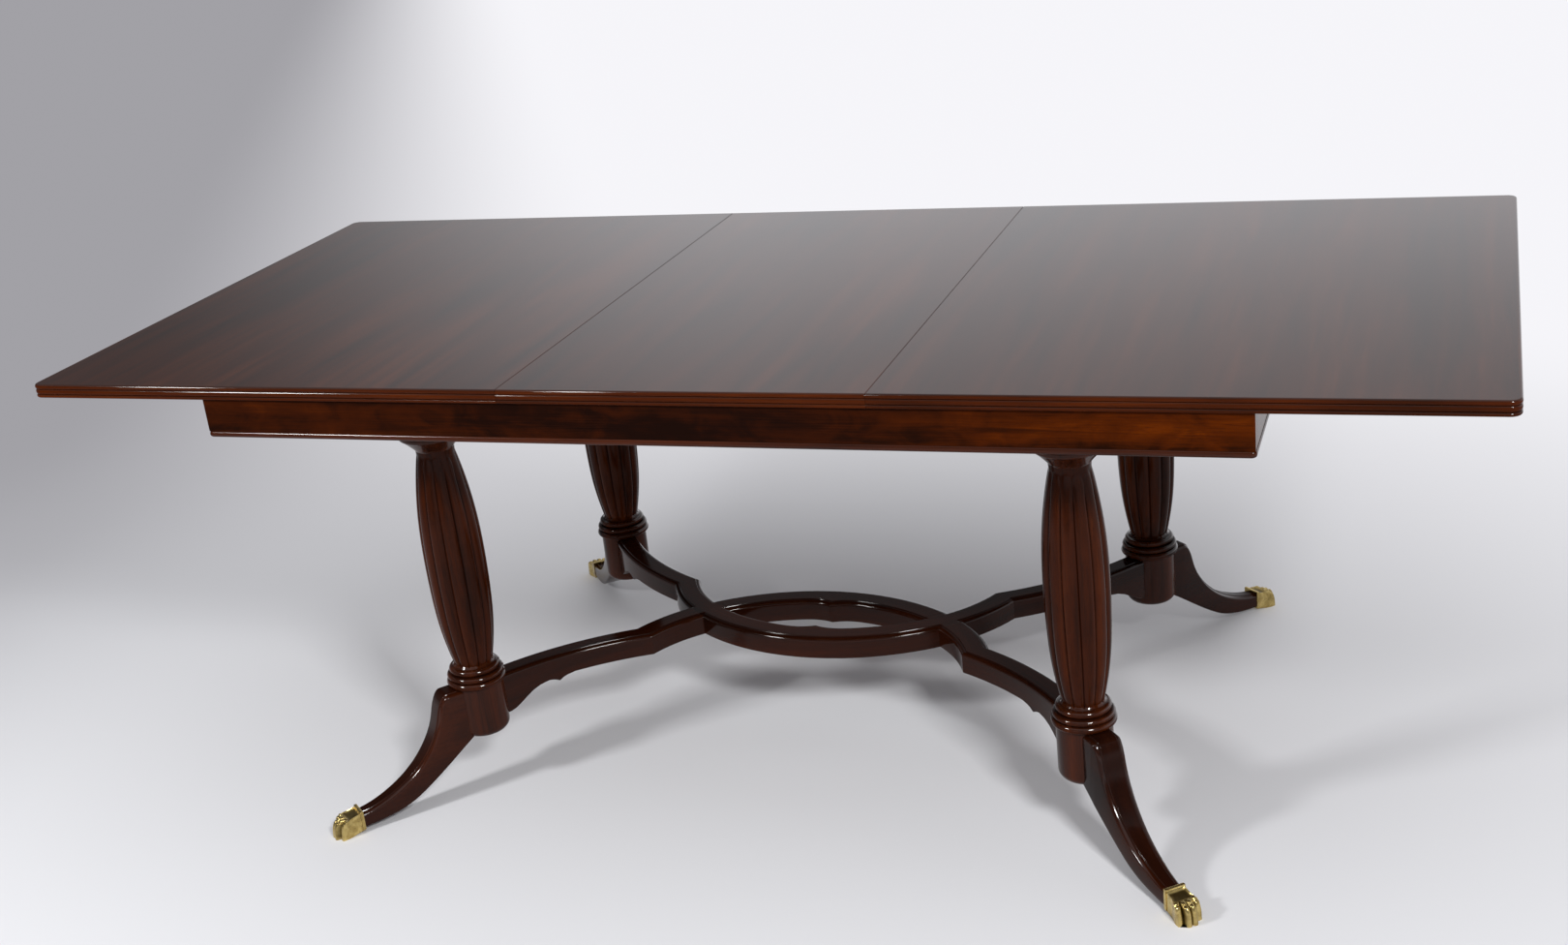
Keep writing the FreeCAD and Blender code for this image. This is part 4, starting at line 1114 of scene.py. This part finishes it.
    def leg(self) -> Piece:
        """The sabre leg: a moulded section carried between an upper and a lower spline.

        A section runs across the upper line with a thumbnail moulding along both edges, and down
        flat sides to the lower line.

        Returns:
            The piece.
        """
        size = np.array([self.leg_reach, self.block_top])
        start = np.array([self.shoulder, 0.0])
        crest = (self.shoulder, self.block_top)
        knots = np.concatenate([[crest], start + np.array(self.leg_upper) * (size - start)])
        flat_rows, upper_rows, lower_rows = self.leg_rows
        flat = np.linspace((self.leg_root, self.block_top), crest, flat_rows)[:-1]
        upper = np.concatenate([flat, curve_through(knots, upper_rows, np.array([1.0, 0.0]))])
        lower = curve_through(np.array(self.leg_lower) * size, lower_rows)
        upper, lower = (line[line[:, 0] <= self.leg_end] for line in (upper, lower))
        length = run_length(upper)
        even = np.linspace(0, length[-1], len(lower))
        lower = np.stack([np.interp(length, even, part) for part in lower.T], axis=1)
        way = np.gradient(upper, axis=0)
        up = way[:, ::-1] * (-1, 1) / np.linalg.norm(way, axis=1, keepdims=True)
        half = self.leg_half(upper[:, :1])
        edge = np.tile(stations(*self.leg_edge), (len(upper), 1))
        inset = np.concatenate([edge, half * stations(self.leg_field)], axis=1)
        across = np.concatenate([inset - half, (half - inset)[:, -2::-1]], axis=1)
        inset = np.concatenate([inset, inset[:, -2::-1]], axis=1)
        drop, quirk = thumb_mould(inset, *self.leg_mould)
        drop = drop + self.leg_camber * (across / half) ** 2
        over = upper[:, None] - up[:, None] * drop[..., None]
        crown = coordinates(over[..., 0], across, over[..., 1])
        under = self.leg_half(lower[:, :1]) - self.leg_arris
        right = coordinates(lower[:, :1], under, lower[:, 1:] + self.leg_arris_rise)
        ring = np.concatenate([(right * (1, -1, 1))[:, ::-1], crown, right], axis=1)
        board = coordinates(length[:, None], ring[..., 1], ring[..., 2] * self.leg_figure_depth)
        # Painted shade in the quirks and over the upper field between the mouldings, standing for the shade
        # on the leg's upper face.
        dim = self.leg_field_painted_shade * ease(inset, *self.leg_field_start)
        sides = len(self.leg_arris)
        shade = np.pad(np.maximum(quirk * self.quirk_shade, dim), ((0, 0), (sides, sides)))
        shell = Shell()
        shell.tube(self.outward(ring), board + self.leg_figure * self.corner.value[0], shade)
        return shell.make(f"{self.corner.label}_sabre_leg", self.crease)

    def build(self) -> None:
        """Make the five pieces of the support and tie them to the frame."""
        label = self.corner.label
        dress(self.cap(), BASE_FINISH, "frame", [f"{label}_cap"])
        dress(self.column(), COLUMN_FINISH, "frame", [f"{label}_column"])
        dress(self.block(), BASE_FINISH, "frame", [f"{label}_block"])
        dress(self.leg(), LEG_FINISH, "frame", [f"{label}_leg"])
        dress(Paw(self).build(), BRASS_FINISH, "frame", [f"{label}_paw"])


@dataclass
class Paw:
    """One brass paw: a rim round the leg, a dished top and four toes with raised knuckles."""

    support: Support
    start: float = 231.5
    rim: float = 5.2
    rim_arris: tuple[Pair, ...] = ((0.0, -0.8), (0.25, -0.25), (0.8, 0.0))
    rim_foot: Pair = (0.1, -2.2)
    slope_start: Pair = (0.6, -0.6)
    slope_rows: int = 15
    half: float = 16.0
    body_half: float = 14.9
    toe_half: float = 18.8
    swell: Pair = (248.0, 266.0)
    top: float = 38.0
    heel: float = 5.6
    sole_start: float = 252.5
    toes: int = 4
    toe_lanes: int = 18
    toe_rows: int = 60
    toe_power: float = 0.8
    toe_end: float = 281.5
    outer_toe_back: float = 8.0
    outer_toe_side: float = 0.62
    dish_depth: float = 3.2
    dish_start: float = 3.0
    dish_end: Pair = (253.0, 260.0)
    dish_power: int = 8
    dish_painted_shade: float = 0.75
    toe_dirt: float = 0.95
    dirt_start: Pair = (256.0, 262.0)
    dirt_and_shade_level: Pair = (-2.0, 6.0)
    wall_rows: int = 7
    crease: float = 42.0
    crest: tuple[Pair, ...] = (
        (257.0, 31.4), (260.5, 30.6), (263.8, 31.2), (267.2, 30.2), (269.8, 28.2), (272.6, 28.0),
        (275.8, 25.4), (278.6, 20.0), (280.3, 13.0), (280.95, 7.0), (281.15, 2.5), (281.2, 0.0),
    )
    valley: tuple[Pair, ...] = (
        (257.0, 31.0), (260.5, 28.0), (263.8, 26.0), (266.8, 24.4), (269.0, 22.4), (271.0, 20.0),
        (272.8, 17.2), (274.4, 14.0), (275.3, 9.6), (275.75, 6.0), (275.95, 2.2), (276.0, 0.0),
    )

    def rows(self) -> list[Array]:
        """Side view of a toe's crest and of the valley beside it, from the rim to the floor.

        Returns:
            Two arrays of reach and level with the same number of rows.
        """
        end = (self.start + self.rim, self.top)
        arris = np.array(self.rim_arris)
        foot = np.add(end, self.rim_foot)
        rim = [arris + (self.start, self.top), arris[::-1] * (-1, 1) + end, foot[None]]
        slope = np.linspace(foot + self.slope_start, self.crest[0], self.slope_rows)[:-1]
        lines = (curve_through(np.array(knots), self.toe_rows) for knots in (self.crest, self.valley))
        return [np.concatenate([*rim, slope, line]) for line in lines]

    def build(self) -> Piece:
        """Make the paw: each lane across it mixes crest and valley, which gives four toes.

        A point is valley + (crest - valley) * (1 - x^2)^0.4, x from -1 to 1 across a toe; the
        outer toes keep a fuller outer side and stop a little shorter.

        Returns:
            The piece.
        """
        crest, valley = self.rows()
        lanes = np.linspace(-1, 1, self.toes * self.toe_lanes + 1)
        along = (lanes + 1) / 2 * self.toes
        number = np.clip(np.floor(along), 0, self.toes - 1)
        local = (along - number) * 2 - 1
        is_outer = (number == 0) | (number == self.toes - 1)
        local = np.where(is_outer & (local * lanes > 0), self.outer_toe_side * local, local)
        full = np.sqrt(np.clip(1 - local**2, 0, 1)) ** self.toe_power
        mix = full[:, None]
        side = valley[:, None] * (1 - mix) + crest[:, None] * mix
        back = self.outer_toe_back * ease(side[..., 0], self.sole_start, self.toe_end)
        reach = side[..., 0] - back * is_outer
        rim_end = self.start + self.rim
        half = np.where(reach <= rim_end + self.rim_foot[0] / 2, self.half, self.body_half)
        half = half + (self.toe_half - self.body_half) * ease(reach, *self.swell)
        dish = ease(reach, rim_end, rim_end + self.dish_start) * (1 - ease(reach, *self.dish_end))
        dish = dish * (1 - np.abs(lanes) ** self.dish_power)
        level = side[..., 1] - self.dish_depth * dish
        # Painted shade in the dish; the valleys between the toes take a dark patina.
        hollow = np.maximum(dish * self.dish_painted_shade, (1 - full) * ease(reach, *self.dirt_start) * self.toe_dirt)
        top = coordinates(reach, lanes * half, level)
        shell = Shell()
        place = self.support.outward
        index = shell.grid(place(top), recess=hollow * ease(level, *self.dirt_and_shade_level))
        walls = []
        for lane in (0, -1):
            reach, across, level = top[:, lane, :, None].transpose(1, 0, 2)
            low = self.heel * np.clip((self.sole_start - reach) / (self.sole_start - self.start), 0, 1)
            share = np.linspace(0, 1, self.wall_rows)
            wall = coordinates(reach, across, level + (np.minimum(low, level) - level) * share)
            walls.append(shell.grid(place(wall)))
        left, right = walls
        shell.grid(np.stack([shell.places(left[:, -1]), shell.places(right[:, -1])], axis=1))
        shell.face(index[-1])
        shell.face(np.concatenate([left[0, ::-1], index[0, 1:-1], right[0]]))
        return shell.make(f"{self.support.corner.label}_brass_paw", self.crease)


@dataclass
class Stretcher:
    """One curved stretcher in plan: half a lens, two necks and two arms, with brackets at the blocks."""

    end: int
    top: float = 189.0
    thickness: float = 37.0
    half: float = 23.0
    arm_half: float = 20.0
    rise: float = 71.0
    crossing: float = 209.6
    crossing_reach: Pair = (95.0, 62.0)
    cusp_depth: float = 9.0
    cusp_spread: float = 46.0
    cusp_side: float = 0.55
    kink: Pair = (288.5, -101.0)
    block: Pair = (501.5, -304.3)
    arm_sag: float = 20.4
    counts: tuple[int, int, int] = (145, 90, 150)
    bracket_length: float = 160.0
    bracket_drop: float = 33.0
    bracket: tuple[Pair, ...] = (
        (0.0, 1.0), (0.262, 1.0), (0.315, 0.93), (0.375, 0.79), (0.45, 0.56), (0.53, 0.33), (0.62, 0.16),
        (0.72, 0.08), (0.765, 0.12), (0.80, 0.185), (0.83, 0.27), (0.87, 0.15), (0.905, 0.085),
        (0.94, 0.05), (1.0, 0.0),
    )
    mould: Triple = (7.5, 5.6, 1.4)
    edge: tuple[Run, ...] = ((0.0, 7.0, 15), (7.2, 9.2, 11), (11.0, 14.0, 2), (18.0, 23.0, 2))
    quirk_shade: float = 0.85
    halving_gap: float = 0.15
    halving_run: Pair = (0.0, 0.4)
    arris: float = 1.0
    arris_share: float = 0.75
    arris_lane: int = 3
    crease: float = 38.0
    figure: float = 300.0
    circles: dict[str, tuple[Array, float]] = field(default_factory=dict)

    def __post_init__(self) -> None:
        """Work out the three circles of the plan: lens, neck and arm."""
        cross, kink, block = np.array([self.crossing, 0.0]), np.array(self.kink), np.array(self.block)
        lens_radius = (self.crossing**2 + self.rise**2) / (2 * self.rise)
        lens = np.array([0.0, self.rise - lens_radius])
        way = (cross - lens) / lens_radius
        step = kink - cross
        neck_radius = -step.dot(step) / (2 * step.dot(way))
        chord = block - kink
        size = np.linalg.norm(chord)
        arm_radius = (size**2 / 4 + self.arm_sag**2) / (2 * self.arm_sag)
        bulge = chord[::-1] * (-1, 1) / size
        arm = (kink + block) / 2 - bulge * (arm_radius - self.arm_sag)
        self.circles = {
            "lens": (lens, lens_radius),
            "neck": (cross - way * neck_radius, neck_radius),
            "arm": (arm, arm_radius),
        }

    def kink_line(self, share: Array) -> Array:
        """Mitre at the kink: where the neck's and the arm's circles of each share across the strip meet.

        Args:
            share: place across the strip, -1 to 1.

        Returns:
            Points, one for each share.
        """
        (first, first_radius), (second, second_radius) = self.circles["neck"], self.circles["arm"]
        r1 = first_radius + self.half * share
        r2 = second_radius + self.arm_half * share
        gap = np.linalg.norm(second - first)
        way = (second - first) / gap
        foot = (gap**2 + r1**2 - r2**2) / (2 * gap)
        off = np.sqrt(np.maximum(r1**2 - foot**2, 0.0))
        side = way[::-1] * (-1, 1)
        options = [first + way * foot[:, None] + side * (off * sign)[:, None] for sign in (1, -1)]
        return min(options, key=lambda points: np.linalg.norm(points - self.kink, axis=1).sum())

    def arc(self, name: str, ends: list[Array], reach: Array, count: int) -> Array:
        """Arcs about one circle's centre, one for each place across the strip.

        Args:
            name: which circle.
            ends: points that the arcs start and end at by bearing, each one point or one for each place.
            reach: what each place adds to the circle's radius.
            count: number of stations.

        Returns:
            Points shaped stations, places, 2.
        """
        centre, radius = self.circles[name]
        start, end = (np.arctan2(*(np.array(point) - centre).T[::-1]) + 0 * reach for point in ends)
        angle = start + (end - start) * np.linspace(0, 1, count)[:, None]
        return centre + (radius + reach)[:, None] * circle(angle)

    def plan(self, share: Array) -> Array:
        """Right half of the strip in plan: lens, neck and arm arcs for each place across.

        Args:
            share: places across the strip, -1 to 1.

        Returns:
            Points shaped stations, places, 2, from the middle to the block.
        """
        lens = self.circles["lens"][0]
        cross = (self.crossing, 0.0)
        mitre = self.kink_line(share)
        first = self.arc("lens", [(0.0, self.rise), cross], self.half * share, self.counts[0])
        spread = np.clip(1 - np.abs(first[..., 0]) / self.cusp_spread, 0, 1) ** 2
        pull = self.cusp_depth * spread * ease(-share, 0.0, self.cusp_side)
        first = first - pull[..., None] * (first - lens) / np.linalg.norm(first - lens, axis=2, keepdims=True)
        second = self.arc("neck", [cross, mitre], self.half * share, self.counts[1])
        third = self.arc("arm", [mitre, self.block], self.arm_half * share, self.counts[2])
        return np.concatenate([first, second[1:], third[1:]])

    def inside(self, points: Array) -> Array:
        """Distance inside the strip near a crossing, negative outside.

        Args:
            points: plan places, with X made positive.

        Returns:
            half - | distance from the centre line's circle |, by the lens or the neck.
        """
        by_lens, by_neck = (
            self.half - np.abs(np.linalg.norm(points - centre, axis=-1) - radius)
            for centre, radius in (self.circles["lens"], self.circles["neck"])
        )
        off = points - (self.crossing, 0.0)
        way = np.array([self.crossing, 0.0]) - self.circles["lens"][0]
        depth = np.where(off @ (way[::-1] * (1, -1)) < 0, by_lens, by_neck)
        return np.where((np.abs(off) < self.crossing_reach).all(axis=-1), depth, -1.0)

    def build(self) -> None:
        """Make the stretcher and tie it to the frame.

        The top is level - drop(d), d the larger of the distances inside this strip and inside the
        other one, so the mouldings of both meet in a mitre where they cross.
        """
        edge = 1 - stations(*self.edge) / self.half
        share = np.concatenate([-edge, edge[-2::-1]])
        half = self.plan(share)
        points = np.concatenate([half[:0:-1] * (-1, 1), half])
        folded = np.abs(points[..., :1]) * (1, 0) + points * (0, 1)
        depth = np.broadcast_to(self.half * (1 - np.abs(share)), points.shape[:2])
        other = self.inside(folded * (1, -1))
        under = np.zeros_like(other)
        if self.end > 0:
            depth = np.maximum(depth, other)
        else:
            under = self.halving_gap * ease(other, *self.halving_run)
        drop, quirk = thumb_mould(depth, *self.mould)
        arm, arm_radius = self.circles["arm"]
        inward = (self.block - arm)[::-1] * (1, -1) / arm_radius
        inward = inward * np.sign(inward.dot(np.subtract(self.kink, self.block)))
        along = (folded - self.block) @ inward / self.bracket_length
        sink = np.interp(along, *np.array(self.bracket).T, right=0.0) * self.bracket_drop
        floor = self.top - self.thickness - sink + under
        crown = with_level(points, self.top - drop - under)

        def wall(rim: int, inner: int) -> Array:
            """Side of the strip from under the moulding to its eased lower edge.

            Args:
                rim: lane of the edge.
                inner: lane that the eased edge leans towards.

            Returns:
                Points shaped stations, rows, 3.
            """
            rises = np.array([2, 1, 0]) * self.arris
            line = np.repeat(crown[:, [rim]], 1 + len(rises), axis=1)
            line[:, 0, 2] -= self.arris
            line[:, 1:, 2] = floor[:, [rim]] + rises
            line[:, -1, :2] += (points[:, inner] - points[:, rim]) * self.arris_share
            return line

        left, right = wall(0, self.arris_lane), wall(-1, -1 - self.arris_lane)
        sides = left.shape[1]
        ring = np.concatenate([left[:, ::-1], crown, right], axis=1)
        length = run_length(points[:, len(share) // 2])[:, None]
        board = coordinates(length, np.pad(share, sides, mode="edge") * self.half, ring[..., 2])
        shell = Shell()
        # Painted shade in the quirk of the moulding.
        shade = np.pad(quirk * self.quirk_shade, ((0, 0), (sides, sides)))
        shell.tube(ring * (1, -self.end, 1), board + self.figure * self.end, shade)
        label = "back" if self.end > 0 else "front"
        piece = shell.make(f"{label}_curved_stretcher", self.crease)
        dress(piece, LEG_FINISH, "frame", [f"{label}_stretcher"])


@dataclass
class PlainPieces:
    """Nodes that keep their own solids and only get a finish; some come once for each side."""

    sided: dict[str, Finish] = field(default_factory=lambda: {
        "apron_rail": APRON_END_FINISH, "bearer": BEARER_FINISH, "cross_rail": RAIL_FINISH,
        "centre_rail": RAIL_FINISH, "loper_stops": RAIL_FINISH, "loper_screws": STEEL_FINISH,
        "front_loper": RUNNER_FINISH, "back_loper": RUNNER_FINISH,
    })
    single: dict[str, Finish] = field(default_factory=lambda: {
        "corner_blocks": RUNNER_FINISH, "leg_dowels": RUNNER_FINISH, "stretcher_dowels": RUNNER_FINISH,
        "bearer_screws": STEEL_FINISH, "paw_screws": STEEL_FINISH,
    })

    def dress(self) -> None:
        """Put each finish on its node."""
        finishes = {f"{side}_{name}": self.sided[name] for side in ("left", "right") for name in self.sided}
        for name, finish in (finishes | self.single).items():
            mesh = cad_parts[name].data
            mesh.materials.clear()
            mesh.materials.append(finish.material())
            LOG.info("%s keeps its solid, in %s", name, finish.name)


# Stage


@dataclass(frozen=True)
class Lamp:
    """A soft rectangular lamp: where it hangs and what it looks at in metres, its size and its watts."""

    name: str
    place: Triple
    aim: Triple
    size: Pair
    power: float

    def build(self) -> None:
        """Hang the lamp."""
        data = bpy.data.lights.new(self.name, "AREA")
        data.shape = "RECTANGLE"
        data.size, data.size_y = self.size
        data.energy = self.power
        lamp = bpy.data.objects.new(self.name, data)
        back = np.subtract(self.place, self.aim)
        back = back / np.linalg.norm(back)
        side = np.cross((0.0, 0.0, 1.0), back)
        side = side / np.linalg.norm(side)
        turn = Matrix((tuple(side), tuple(np.cross(back, side)), tuple(back))).transposed()
        lamp.matrix_world = Matrix.Translation(self.place) @ turn.to_4x4()
        bpy.context.scene.collection.objects.link(lamp)


@dataclass
class Studio:
    """Floor, soft light and camera."""

    lens: float = 44.19556
    sensor: float = 36.0
    sight: float = 200.0
    camera_place: Triple = (1.03466096, -2.76335726, 1.58395455)
    right: Triple = (0.94055288, 0.32277343, -0.10572409)
    down: Triple = (0.0238482, -0.37326749, -0.92741719)
    forward: Triple = (-0.33880899, 0.86976358, -0.35877538)
    floor_colour: Triple = (0.77, 0.775, 0.80)
    floor_reach: float = 60.0
    cloud: Triple = (0.7, 0.7, 0.7)
    cloud_dim: float = 0.965
    cloud_detail: float = 3.0
    paper_rough: float = 0.85
    paper_specular: float = 0.2
    cool: float = 1.02
    far_pale: Triple = (0.92, 0.915, 0.95)
    far_shaded: Triple = (0.36, 0.355, 0.38)
    far_middle: Triple = (-0.2, -0.7, 0.0)
    far_band: Pair = (1.0, 3.2)
    dim_way: Triple = (1.0, 0.55, 0.0)
    dim_band: Pair = (-2.0, 0.0)
    wall_glow: float = 0.98
    left_glow: float = 0.13
    left_band: Pair = (-0.64, -0.34)
    upper_share: float = 0.56
    upper_band: Pair = (0.20, 0.36)
    roof_glow: float = 0.60
    roof_band: Pair = (0.50, 0.80)
    front_glow: float = 0.12
    front_band: Pair = (0.20, -0.30)
    front_low: Pair = (0.06, 0.30)
    front_high: Pair = (0.85, 0.60)
    lamps: tuple[Lamp, ...] = (
        Lamp("left_softbox", (-2.0, -2.12, 2.16), (0.0, 0.0, 0.4), (0.46, 0.40), 48.0),
        Lamp("right_softbox", (2.4, -2.9, 3.0), (0.2, 0.0, 0.4), (0.80, 0.60), 120.0),
    )

    def grey(self, level: float) -> tuple[float, float, float, float]:
        """A slightly cool grey."""
        return level, level, self.cool * level, 1.0

    def camera(self) -> None:
        """Put the camera where the photograph was taken from."""
        data = bpy.data.cameras.new("view")
        data.sensor_fit = "HORIZONTAL"
        data.sensor_width = self.sensor
        data.lens = self.lens
        data.clip_end = self.sight
        camera = bpy.data.objects.new("view", data)
        turn = Matrix((self.right, [-v for v in self.down], [-v for v in self.forward])).transposed()
        camera.matrix_world = Matrix.Translation(self.camera_place) @ turn.to_4x4()
        bpy.context.scene.collection.objects.link(camera)
        bpy.context.scene.camera = camera

    def floor(self) -> None:
        """A pale paper floor: far off a glowing backdrop tone with painted shade on the left, and clear from
        below.
        """
        reach = self.floor_reach
        corners = [(-reach, -reach, 0.0), (reach, -reach, 0.0), (reach, reach, 0.0), (-reach, reach, 0.0)]
        mesh = bpy.data.meshes.new("studio_floor")
        mesh.from_pydata(corners, [], [(0, 1, 2, 3)])
        material = bpy.data.materials.new("studio_paper")
        material.use_nodes = True
        sheet = NodeSheet(material.node_tree)
        place = sheet.add("ShaderNodeTexCoord").outputs["Object"]
        dim = [self.cloud_dim * share for share in self.floor_colour]
        clouds = sheet.noise(place, self.cloud, self.cloud_detail)
        colour = sheet.mix(clouds, (*dim, 1.0), (*self.floor_colour, 1.0))
        looks = {"Base Color": colour, "Roughness": self.paper_rough}
        looks["Specular IOR Level"] = self.paper_specular
        paper = sheet.add("ShaderNodeBsdfPrincipled", looks)
        # Painted shade: far off the glow is darker towards the left, standing for the shaded backdrop there.
        side = sheet.spread(sheet.vector("DOT_PRODUCT", place, self.dim_way, "Value"), *self.dim_band)
        tone = sheet.mix(side, (*self.far_shaded, 1.0), (*self.far_pale, 1.0))
        glow = sheet.add("ShaderNodeEmission", {"Color": tone, "Strength": 1.0})
        far = sheet.spread(sheet.vector("DISTANCE", place, self.far_middle, "Value"), *self.far_band)
        both = sheet.add("ShaderNodeMixShader", {0: far, 1: paper.outputs[0], 2: glow.outputs[0]})
        below = sheet.add("ShaderNodeNewGeometry").outputs["Backfacing"]
        clear = sheet.add("ShaderNodeBsdfTransparent")
        seen = sheet.add("ShaderNodeMixShader", {0: below, 1: both.outputs[0], 2: clear.outputs[0]})
        sheet.add("ShaderNodeOutputMaterial", {"Surface": seen.outputs[0]})
        mesh.materials.append(material)
        floor = bpy.data.objects.new("studio_floor", mesh)
        bpy.context.scene.collection.objects.link(floor)

    def world(self) -> None:
        """Soft light from all round: pale behind, dimmer on the left, overhead and high up in front."""
        world = bpy.data.worlds.new("studio_room")
        bpy.context.scene.world = world
        world.use_nodes = True
        sheet = NodeSheet(world.node_tree)
        way = sheet.add("ShaderNodeTexCoord").outputs["Generated"]
        x, y, z = sheet.add("ShaderNodeSeparateXYZ", {0: way}).outputs
        side = sheet.spread(x, *self.left_band)
        tone = sheet.mix(side, self.grey(self.left_glow), self.grey(self.wall_glow))
        shade = sheet.mix(sheet.spread(z, *self.upper_band), self.grey(1.0), self.grey(self.upper_share))
        tone = sheet.mix(1.0, tone, shade, "MULTIPLY")
        tone = sheet.mix(sheet.spread(z, *self.roof_band), tone, self.grey(self.roof_glow))
        bands = ((y, self.front_band), (z, self.front_low), (z, self.front_high))
        front = sheet.times(*[sheet.spread(part, *band) for part, band in bands])
        tone = sheet.mix(front, tone, self.grey(self.front_glow))
        glow = sheet.add("ShaderNodeBackground", {"Color": tone, "Strength": 1.0})
        sheet.add("ShaderNodeOutputWorld", {"Surface": glow.outputs[0]})

    def build(self) -> None:
        """Set the floor, the world, the lamps and the camera."""
        bpy.context.scene.view_settings.view_transform = "Standard"
        self.floor()
        self.world()
        for lamp in self.lamps:
            lamp.build()
        self.camera()


def main() -> None:
    """Build the table piece by piece, then the studio."""
    logging.basicConfig(level=logging.INFO, format="%(name)s: %(message)s")
    TableTop().build()
    Apron().build()
    for corner in Corner:
        Support(corner).build()
    for end in (-1, 1):
        Stretcher(end).build()
    PlainPieces().dress()
    Studio().build()


if __name__ == "__main__":
    main()
